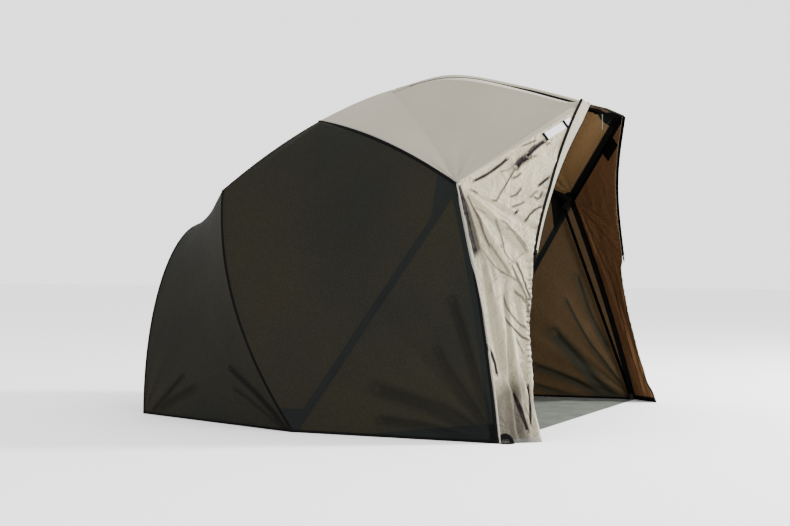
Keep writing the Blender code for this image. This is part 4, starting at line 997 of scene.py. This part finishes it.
def panel_sheets(side):
    """The cloth panels of one side as sheets, with the folds that their corners pull in them."""
    m = vec(side, 1, 1)
    near = side < 0
    knee, foot, side_foot, side_knee, hoop_foot = (
        place * m for place in (FRONT_KNEE, FRONT_FOOT, SIDE_FOOT, SIDE_KNEE, HOOP_FOOT)
    )
    rib = [SIDE_RIB(t) * m for t in shares(30, SHOULDER_SHARE)]

    def crowned(grid, _):
        off = distance_to(grid, rib)
        return 0.016 * np.clip(off / 0.05, 0, 1) ** 0.7 * np.exp(-((np.maximum(off - 0.05, 0) / 0.12) ** 2))

    def panel(point, rows, folds, corners=None, strokes=(), painted_shade_strength=0.0):
        grid = grid_of(mirrored(point, side), shares(90), shares(rows))
        return folded_panel(grid, folds, corners, strokes, painted_shade_strength=painted_shade_strength)

    return {
        "front_panel": front_panel(side),
        "wall_panel": panel(WALL_PANEL, 90, [
            crowned,
            fan(side_foot, towards(side_foot, SHOULDER * m), 0.6, 0.003, 11, 0.6, 0.5),
            uneven(0.6, 0.0010, 21),
        ]),
        "wall_quarter_panel": panel(quarter_panel, 130, [
            fan(foot, towards(foot, STRIP(0.55) * m), 1.1, 0.0075, 13, 0.6, 0.9),
            fan(side_foot, towards(side_foot, knee), 0.5, 0.0035, 13, 0.5, 0.2),
        ], [knee, side_foot, foot], NEAR_QUARTER_CREASES if near else FAR_QUARTER_CREASES, 0.25),
        "rear_side_panel": panel(REAR_SIDE, 90, [
            fan(hoop_foot, towards(hoop_foot, side_knee), 0.5, 0.003, 13, 0.6, 0.6),
            fan(side_foot, towards(side_foot, HOOP_TOP), 0.5, 0.003, 13, 0.7, 1.2),
        ], [side_knee, side_foot, hoop_foot], NEAR_REAR_CREASES if near else (), 0.2),
    }


def build_panels():
    """The cloth panels, each on the limbs that carry it; gives their sheets by name."""
    sheets = {"roof_panel": roof_sheet()}
    cloth("roof_panel", sheets["roof_panel"], (PAINTED_SUNLIT_ROOF_CLOTH, PAINTED_BACKLIT_ROOF_LINING), ("roof_panel",))
    half = grid_of(REAR_ROOF, shares(48), shares(56))
    whole = np.concatenate([(half * vec(-1, 1, 1))[:, :0:-1], half], axis=1)
    sheets["rear_roof_panel"] = folded_panel(whole, [uneven(0.5, 0.001, 31)])
    arch = np.array([[hoop(v) * vec(s, 1, 1) for s in shares(64, -1.0, 1.0)] for v in shares(48, 0.02, 1.0)])
    sheets["rear_wall_panel"] = folded_panel(arch, [uneven(0.4, 0.0015, 41)])
    # The rear panels take the painted shaded cloth
    for name in ("rear_roof_panel", "rear_wall_panel"):
        cloth(name, sheets[name], (PAINTED_SHADED_WALL_CLOTH, PAINTED_BACKLIT_WALL_LINING), (name,))
    for name, side in SIDES:
        for panel, sheet in panel_sheets(side).items():
            # Front panels take the painted sunlit cloth, the other panels the painted shaded cloth
            pale = panel == "front_panel"
            finishes = (PAINTED_SUNLIT_FRONT_CLOTH, PAINTED_BACKLIT_FRONT_LINING) if pale else (PAINTED_SHADED_WALL_CLOTH, PAINTED_BACKLIT_WALL_LINING)
            sheets[f"{name}_{panel}"] = sheet
            cloth(f"{name}_{panel}", sheet, finishes, (f"{name}_{panel}",))
    return sheets


# Seams, tapes and patches
BORDERS = {
    "left": lambda t, d: (d, t),
    "right": lambda t, d: (1 - d, t),
    "foot": lambda t, d: (t, d),
    "head": lambda t, d: (t, 1 - d),
}
ROOF_SIDE = patch(lambda u: CROWN, ROOF_SEAM, part_of(SIDE_RIB, 0.0, SHOULDER_SHARE), FRONT_RIB)
ROOF_FRONT = patch(lambda u: CROWN, ROOF_RIM, FRONT_RIB, RIDGE)


def edge_of(point, border, side, start=0.0, end=1.0, count=70):
    """Places along a patch's border, with the directions into the patch and out of the shelter."""
    rows = []
    for t in shares(count, start, end):
        s = min(max(t, 0.03), 0.97)
        here = point(*BORDERS[border](s, 0.0))
        along = unit(point(*BORDERS[border](s + 0.01, 0.0)) - here)
        into = point(*BORDERS[border](s, 0.03)) - here
        into = unit(into - along * np.dot(into, along))
        out = np.cross(along, into)
        out = out if np.dot(out, here - INSIDE) > 0 else -out
        rows.append([point(*BORDERS[border](t, 0.0)), into, out])
    return np.array(rows).transpose(1, 0, 2) * vec(side, 1, 1)


def bead(first, second, half_first, half_second, height, shift=0.0):
    """A rounded piping over the seam between two panels, or shifted on to the second."""
    (line, into_first, out_first), (_, into_second, out_second) = first, second
    out = (out_first + out_second) / lengths(out_first + out_second)
    line = line + into_second * shift
    grid = []
    for s in np.linspace(-1, 1, 9):
        reach = into_first * half_first if s < 0 else into_second * half_second
        grid.append(line + reach * abs(s) + out * height * math.sqrt(1 - s * s))
    grid = np.stack(grid, axis=1)
    normals = raw_normals(grid)
    return Sheet.of_grid(grid, normals * np.sign(np.sum(normals * out[:, None], axis=-1, keepdims=True)))


def flat_strip(edge, steps, raised):
    """A flat strip along a patch's border, at steps into the patch."""
    line, into, out = edge
    grid = np.stack([line + into * step + out * raised for step in steps], axis=1)
    return Sheet.of_grid(grid, np.repeat(out[:, None], len(steps), axis=1))


def beside(sheet, line, width):
    """The part of a sheet within a distance of a line."""
    return sheet.within(lambda s: distance_to(s.points, line) - width)


def around(sheet, place, reach):
    """The part of a sheet within a distance of a place."""
    return sheet.within(lambda s: lengths(s.points - place)[:, 0] - reach)


def below(sheet, height):
    """The part of a sheet below a height."""
    return sheet.within(lambda s: s.points[:, 2] - height)


def line_of(edge, side):
    """An edge of one side as places."""
    return [edge(t) * vec(side, 1, 1) for t in shares(60)]


def sewn(name, sheet, host, *finishes, thickness=CLOTH, lift=PIPING_LIFT, stands_for=()):
    """A trim sewn to a panel."""
    if len(sheet.triangles):
        cloth(name, sheet, finishes, stands_for, host, thickness, lift)


def outside(name, sheet, host, finish, thickness=OUTER_TAPE):
    """A flat piece sewn on the outside of a panel."""
    sewn(name, sheet, host, finish, thickness=thickness, lift=OUTER_LIFT)


def inside(name, sheet, host, finish=TAPE):
    """A flat piece sewn on the inside of a panel."""
    sewn(name, sheet, host, finish, thickness=INNER_TAPE, lift=INNER_LIFT)


def stitches(line, across, out, offset, pitch=0.0075):
    """A row of short threads beside a line."""
    length, width = 0.0045, 0.0010
    places = line + across * offset
    run = np.concatenate([[0.0], np.cumsum(np.linalg.norm(np.diff(places, axis=0), axis=1))])
    data, triangles = [], []
    for start in np.arange(pitch, run[-1] - pitch, pitch):
        ends = np.array([[np.interp(start + step, run, places[:, k]) for k in range(3)] for step in (0.0, length)])
        row = min(int(np.searchsorted(run, start)), len(out) - 1)
        for end in ends:
            for half in (-0.5, 0.5):
                data.append([*(end + across[row] * width * half), *out[row], 0.0, 0.0, 0.0, 0.0])
        first = len(data) - 4
        triangles += [[first, first + 1, first + 3], [first, first + 3, first + 2]]
    return Sheet(np.array(data), np.array(triangles))


def build_roof_seams(sheets, name, side):
    """The roof's seams: piping over the walls, the pale sleeve over the front panels, and the tapes inside them."""
    roof, front = "roof_panel", f"{name}_front_panel"
    knee, peak = FRONT_KNEE * vec(side, 1, 1), PEAK_CORNER * vec(side, 1, 1)
    piping = bead(edge_of(ROOF_SIDE, "head", side), edge_of(WALL_PANEL, "foot", side), 0.001, 0.010, 0.004)
    sewn(f"{name}_roof_seam_piping", piping, roof, TAPE)
    outside(f"{name}_roof_hem", beside(sheets[roof], line_of(ROOF_SEAM, side), 0.012), roof, HEM_BAND, HEM_CLOTH)
    seam = line_of(straight(FRONT_KNEE, PEAK_CORNER), side)
    share_of = lambda s: (s.points - knee) @ towards(knee, peak) / np.linalg.norm(peak - knee)

    def sleeve(s):
        wide = np.where(share_of(s) < 0.93, 0.006 + 0.030 * np.clip(share_of(s), 0, 1), -1.0)
        return np.where(share_of(s) > 0.01, distance_to(s.points, seam) - wide, 1.0)

    upper = beside(sheets[roof], seam, 0.06).within(lambda s: -side * s.points[:, 0], sleeve)
    sewn(f"{name}_peak_sleeve", upper, roof, BAND, thickness=SLEEVE_CLOTH, lift=OUTER_LIFT)
    inside(f"{name}_peak_inner_band", beside(sheets[roof], seam, 0.026), roof)
    block = beside(sheets[front], seam, 0.060).within(lambda s: share_of(s) - 0.78, lambda s: 0.59 - share_of(s))
    inside(f"{name}_peak_inner_block", block, front)
    inside(f"{name}_peak_inner_edge", beside(sheets[front], seam, 0.016), front)
    line, into, out = edge_of(ROOF_FRONT, "head", side, 0.03, 0.60, 60)
    sewn(f"{name}_peak_inner_stitches", stitches(line, into, out, 0.036, 0.016), roof, THREAD,
         thickness=INNER_TAPE, lift=-0.0012)
    sewn(f"{name}_peak_sleeve_stitches", stitches(line, into, out, 0.004), roof, HEM_BAND,
         thickness=PATCH_CLOTH, lift=0.0036)
    inside(f"{name}_peak_corner_patch", around(sheets[roof], peak, 0.105), roof)


def build_knee_patches(sheets, name, side):
    """Dark patches round the front knees, the outer one painted shadow of the inner patches seen through the cloth,
    and at the feet of the walls painted shadow outside with tapes inside.
    """
    roof, wall, quarter = "roof_panel", f"{name}_wall_panel", f"{name}_wall_quarter_panel"
    knee, foot = FRONT_KNEE * vec(side, 1, 1), FRONT_FOOT * vec(side, 1, 1)
    corner = sheets[wall].within(lambda s: s.points[:, 1] - knee[1] - 0.100)
    # Painted shadow of the inner knee patch, seen through the cloth
    outside(f"{name}_knee_patch", corner, wall, SLATE_TAPE_AND_PAINTED_SHADOW, PATCH_CLOTH)
    inside(f"{name}_knee_inner_patch", corner, wall)
    inside(f"{name}_knee_inner_quarter", around(sheets[quarter], knee, 0.045), quarter)
    inside(f"{name}_knee_inner_roof", around(sheets[roof], knee, 0.045), roof)
    # Painted shadow along the foot of the wall
    outside(f"{name}_foot_patch", below(sheets[wall], 0.090), wall, SLATE_TAPE_AND_PAINTED_SHADOW, PATCH_CLOTH)
    # Painted shadow along the foot of the quarter panel, narrowing towards the side foot
    along = towards(foot, SIDE_FOOT * vec(side, 1, 1))
    hem = lambda s: s.points[:, 2] - 0.075 * np.clip(1 - (s.points - foot) @ along / 0.60, 0.12, 1)
    outside(f"{name}_quarter_hem", sheets[quarter].within(hem), quarter, SLATE_TAPE_AND_PAINTED_SHADOW, PATCH_CLOTH)
    inside(f"{name}_quarter_inner_hem", below(sheets[quarter], 0.010), quarter)


def build_wall_seams(sheets, name, side):
    """The straight strip, the seams beside it, and the bindings along the ground and the rear hoop."""
    wall, quarter, rear, front = (
        f"{name}_{part}" for part in ("wall_panel", "wall_quarter_panel", "rear_side_panel", "front_panel")
    )
    strip, seam = line_of(STRIP, side), line_of(FRONT_SEAM, side)
    for part, host in (("wall", wall), ("quarter", quarter)):
        # Outside, the strip is painted shadow of the inner tape seen through the cloth
        outside(f"{name}_strip_{part}", beside(sheets[host], strip, 0.016), host, SLATE_TAPE_AND_PAINTED_SHADOW)
        inside(f"{name}_strip_inner_{part}", beside(sheets[host], strip, 0.013), host, SLATE_TAPE_AND_PAINTED_SHADOW)
    piping = bead(edge_of(WALL_PANEL, "head", side), edge_of(REAR_SIDE, "left", side), 0.006, 0.003, 0.0025)
    sewn(f"{name}_side_seam_piping", piping, wall, TAPE)
    edges = edge_of(quarter_panel, "right", side), edge_of(FRONT_PANEL, "left", side)
    down = shares(70)[:, None]
    low = eased((down - 0.22) / 0.34) if side < 0 else 0.0 * down
    hem_width = 0.0005 + 0.0045 * eased((down - 0.04) / 0.04) * (1 - 0.6 * low)
    hem = bead(*edges, hem_width, 0.003, 0.004, -0.003 + 0.013 * low)
    sewn(f"{name}_front_seam_hem", hem, front, HEM_BAND, lift=0.0010)
    sewn(f"{name}_front_seam_cord", bead(*edges, 0.0055, 0.001 + 0.003 * low, 0.003), quarter, TAPE)
    inside(f"{name}_front_seam_inner", beside(sheets[front], seam, 0.008), front)
    # Painted shadow of the inner seam tape and leg, beside the front seam
    outside(f"{name}_quarter_seam_band", beside(sheets[quarter], seam, 0.030), quarter, SLATE_TAPE_AND_PAINTED_SHADOW, PATCH_CLOTH)
    inside(f"{name}_quarter_seam_inner", beside(sheets[quarter], seam, 0.022), quarter)
    inside(f"{name}_front_inner_hem", below(sheets[front], 0.022), front)
    binding = flat_strip(edge_of(REAR_SIDE, "right", side), (0.0, 0.004, 0.008), 0.0008)
    outside(f"{name}_hoop_binding", binding, rear, TAPE, HEM_CLOTH)
    for host in (quarter, rear):
        outside(f"{host}_ground_binding", below(sheets[host], 0.010), host, TAPE, 0.0020)
    outside(f"{name}_front_ground_hem", below(sheets[front], 0.014), front, HEM_BAND, HEM_CLOTH)


def build_ridge(sheets):
    """The sleeve of the peak rib along the ridge, its dark edges, widened towards the peak into painted shadow beside
    the raised sleeve, and the front rim of the roof.
    """
    host = "roof_panel"
    roof = sheets[host]
    forward = lambda s, start, over: eased(-(s.points[:, 1] + start) / over)
    half_width = lambda s: 0.038 - 0.017 * forward(s, 0.30, 0.40)
    # A black edge tape, widened towards the peak as painted shadow
    tape_width = lambda s: 0.003 + 0.012 * forward(s, 0.30, 0.40) + 0.012 * forward(s, 0.68, 0.12)
    ridge_part = roof.within(lambda s: np.abs(s.points[:, 0]) - half_width(s), lambda s: s.points[:, 1] + 0.02)
    sewn("ridge_sleeve", ridge_part, host, PAINTED_SUNLIT_ROOF_CLOTH, thickness=SLEEVE_CLOTH, lift=OUTER_LIFT)
    for name, side in SIDES:
        edge = roof.within(lambda s: side * s.points[:, 0] - half_width(s) - tape_width(s),
                           lambda s: half_width(s) - 0.001 - side * s.points[:, 0],
                           lambda s: s.points[:, 1] + 0.10)
        outside(f"{name}_ridge_edge", edge, host, TAPE, HEM_CLOTH)
        rim = edge_of(ROOF_FRONT, "head", side, 0.63, 1.0, 24)
        line, into, out = rim
        outside(f"{name}_roof_front_rim", flat_strip(rim, (0.0, 0.008, 0.016), 0.0005), host, BAND, 0.0018)
        sewn(f"{name}_roof_front_piping", bead(rim, (line, -into, out), 0.004, 0.004, 0.0045), host, BAND)
        cord = bead((line, into, -out), (line, -into, -out), 0.004, 0.003, 0.0045)
        sewn(f"{name}_roof_front_cord", cord, host, TAPE, lift=0.0004)
        inside(f"{name}_roof_front_inner", beside(roof, list(line), 0.018), host)


def door_strip(side, last, start, end):
    """A strip in the plane of a front panel, down its door edge between two insets towards the doorway."""
    grid = np.array([
        [door_edge(t, inset) for inset in np.linspace(start(t), end(t), 3)] for t in shares(90, 0.0, last)
    ]) * vec(side, 1, 1)
    return Sheet.of_grid(grid, np.broadcast_to(DOOR_NORMAL * vec(side, 1, 1), grid.shape).copy())


def build_doorway(sheets):
    """Zip tapes, edge flaps and bindings of the doorway."""
    for name, side in SIDES:
        host, near = f"{name}_front_panel", side < 0
        middle = lambda t: zip_inset(t, near)
        if near:
            outer = lambda t: 0.009 + 0.009 * min(1.0, t / 0.06) - 0.003 * max(0.0, (t - 0.35) / 0.15)
        else:
            outer = lambda t: middle(t) + 0.0135 + 0.002 * (1 - 2 * t)
        zip_tape = door_strip(side, 0.5, lambda t: middle(t) - 0.0035, lambda t: middle(t) + 0.0075)
        flap = door_strip(side, 0.49, lambda t: middle(t) + 0.0078, outer)
        flap_edge = door_strip(side, 0.49, outer, lambda t: outer(t) + 0.0030)
        sewn(f"{name}_door_zip", zip_tape, host, TAPE, thickness=0.0020, lift=DOOR_LIFT,
             stands_for=(f"{name}_door_zip",))
        sewn(f"{name}_door_flap", flap, host, BAND, TAPE, thickness=0.0014, lift=DOOR_LIFT)
        sewn(f"{name}_door_flap_edge", flap_edge, host, TAPE, thickness=0.0018, lift=DOOR_LIFT)
        binding = beside(sheets[host], lower_edge(sheets[host]), 0.007)
        sewn(f"{name}_door_binding", binding, host, BAND, TAPE, thickness=0.0026, lift=-0.0008)


def lower_edge(front):
    """The lower half of a front panel's free edge, as its folds leave it."""
    on_edge = np.flatnonzero((front.u > 0.9999) & (front.v > 0.505))
    return list(front.points[on_edge[np.argsort(front.v[on_edge])]][::3])


def build_label():
    """The sewn label below the peak corner, left plain, with a dark bar across its end and its middle."""
    m = vec(-1, 1, 1)
    normal, span = DOOR_NORMAL * m, (PEAK_CORNER - FRONT_KNEE) * m
    down = np.cross(normal, unit(span))
    down = down if down[2] < 0 else -down
    for name, finish, start, end, top, bottom, lift in (
        ("sewn_label", LABEL_CLOTH, 0.632, 0.845, 0.008, 0.038, 0.0012),
        ("label_end_bar", TAPE, 0.626, 0.643, 0.006, 0.041, 0.0024),
        ("label_middle_bar", TAPE, 0.784, 0.800, 0.006, 0.041, 0.0024),
    ):
        places = shares(max(4, round(300 * (end - start))), start, end)
        grid = np.array([[FRONT_KNEE * m + span * t + down * d for t in places] for d in shares(12, top, bottom)])
        grid = grid + normal * (lift + np.abs(dents(grid, 0.04, 0.0004, 61)))[..., None]
        label = Sheet.of_grid(grid, np.broadcast_to(normal, grid.shape).copy())
        cloth(name, label, (finish,), ("label_patch",), host="left_front_panel", thickness=0.0006)


def build_foot_rings(sheets):
    """The black half-moon sewn at the seam end of each front panel's foot, and the patch that it runs round."""
    for name, side in SIDES:
        host = f"{name}_front_panel"
        middle = (FRONT_FOOT + 0.180 * (DOOR_FOOT - FRONT_FOOT)) * vec(side, 1, 1)
        off = lambda s: lengths((s.points - middle) * vec(1, 1, 0.9))[:, 0]
        ring = sheets[host].within(lambda s: off(s) - 0.033, lambda s: 0.019 - off(s))
        outside(f"{name}_foot_half_moon", ring, host, TAPE, SLEEVE_CLOTH)
        inner = sheets[host].within(lambda s: off(s) - 0.020)
        outside(f"{name}_foot_half_moon_cloth", inner, host, SLATE_TAPE_AND_PAINTED_SHADOW, HEM_CLOTH)


def build_ground():
    """The groundsheet."""
    edge = np.array([FRONT_FOOT, SIDE_FOOT, HOOP_FOOT])
    grid = np.array([
        [vec((np.interp(y, edge[:, 1], edge[:, 0]) - GROUND_INSET) * s, y, 0.0) for s in shares(110, -1.0, 1.0)]
        for y in shares(110, HOOP_FOOT[1] - GROUND_INSET, FRONT_FOOT[1] + GROUND_INSET)
    ])
    lift = 0.0012 + np.abs(dents(grid, 0.35, 0.003, 51)) + np.abs(dents(grid, 0.12, 0.0012, 52))
    grid = grid + UP * pinned(grid, lift)[:, :, None]
    normals = raw_normals(grid)
    sheet = Sheet.of_grid(grid, normals * np.sign(normals[:, :, 2:]))
    piece = shell_object("groundsheet_cloth", sheet, CLOTH, 0.0, (GROUND_CLOTH,))
    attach(piece, "canopy")
    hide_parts("groundsheet")
    sheet.area()


def build_zip_pulls():
    """Each zip's slider and pull tab, as copies of the solids carried on the zip slider's body."""
    for name, _ in SIDES:
        for part, finish, slot in (("zip_slider", PLASTIC, "pin_steel"), ("zip_tab", TAPE, "black_webbing")):
            solid = frame["nodes"][f"{name}_{part}"]
            piece = linked(f"{name}_{part}_body", solid.data.copy())
            piece.matrix_world = solid.matrix_world.copy()
            finished(piece, finish)
            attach(piece, f"{name}_zip_slider")
            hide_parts(f"{name}_{part}")
            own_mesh(piece)


def finished(piece, finish):
    """Gives a solid one finish."""
    piece.data.materials.clear()
    piece.data.materials.append(finish)


def finish_frame():
    """Finishes on the frame's own solids."""
    finishes = (
        (("foot",), RUBBER),
        (("pin", "hub_ring"), STEEL),
        (("knee", "yoke", "hub_body", "hub_cap", "crossbar_bracket"), PLASTIC),
        (("hanging_loop",), PAINTED_SHADED_LOOP_CORD),
        (("tab",), TAPE),
    )
    for name, part in frame["nodes"].items():
        if part.hide_render:
            continue
        finished(part, next((finish for endings, finish in finishes if name.endswith(endings)), POLE))


def aim(made, place, way):
    """Sets a light or the camera at a place, so that it looks along a direction."""
    made.location = place
    made.rotation_euler = Vector(way.tolist()).to_track_quat("-Z", "Y").to_euler()


def build_floor():
    """A plain pale floor, just below the ground."""
    bpy.ops.mesh.primitive_plane_add(size=60, location=(0, 0, -0.0005))
    floor = bpy.context.object
    floor.name = "studio_floor"
    paint, _, _ = new_finish("studio_floor_paint", Base_Color=(0.9, 0.9, 0.9, 1), Roughness=0.9)
    floor.data.materials.append(paint)


def build_light():
    """White light from all round, and two softboxes: one high at the front, one low at the left."""
    world = bpy.data.worlds.new("studio_room")
    bpy.context.scene.world = world
    world.use_nodes = True
    sky = world.node_tree.nodes["Background"].inputs
    sky["Color"].default_value, sky["Strength"].default_value = (1, 1, 1, 1), 2.2
    for name, place, size, power in (
        ("key_softbox", vec(3.0, -6.0, 3.0), 1.2, 1500),
        ("doorway_softbox", vec(-4.5, -5.5, 1.4), 2.0, 220),
    ):
        light = bpy.data.lights.new(name, "AREA")
        light.size, light.energy = size, power
        aim(linked(name, light), place, vec(0, 0, 0.6) - place)


def build_camera():
    """The camera, low at the left of the open front."""
    camera = bpy.data.cameras.new("camera")
    camera.sensor_width = SENSOR_WIDTH
    camera.lens = VIEW_FOCUS / PICTURE[0] * SENSOR_WIDTH
    made = linked("camera", camera)
    aim(made, VIEW_PLACE, VIEW_WAY)
    bpy.context.scene.camera = made


def build():
    """Everything on the frame, and the room round it."""
    sheets = build_panels()
    build_ridge(sheets)
    for name, side in SIDES:
        build_roof_seams(sheets, name, side)
        build_knee_patches(sheets, name, side)
        build_wall_seams(sheets, name, side)
    build_doorway(sheets)
    build_label()
    build_zip_pulls()
    build_foot_rings(sheets)
    build_ground()
    declare_cuts()
    finish_frame()
    build_floor()
    build_light()
    build_camera()


build()
bpy.context.view_layer.update()
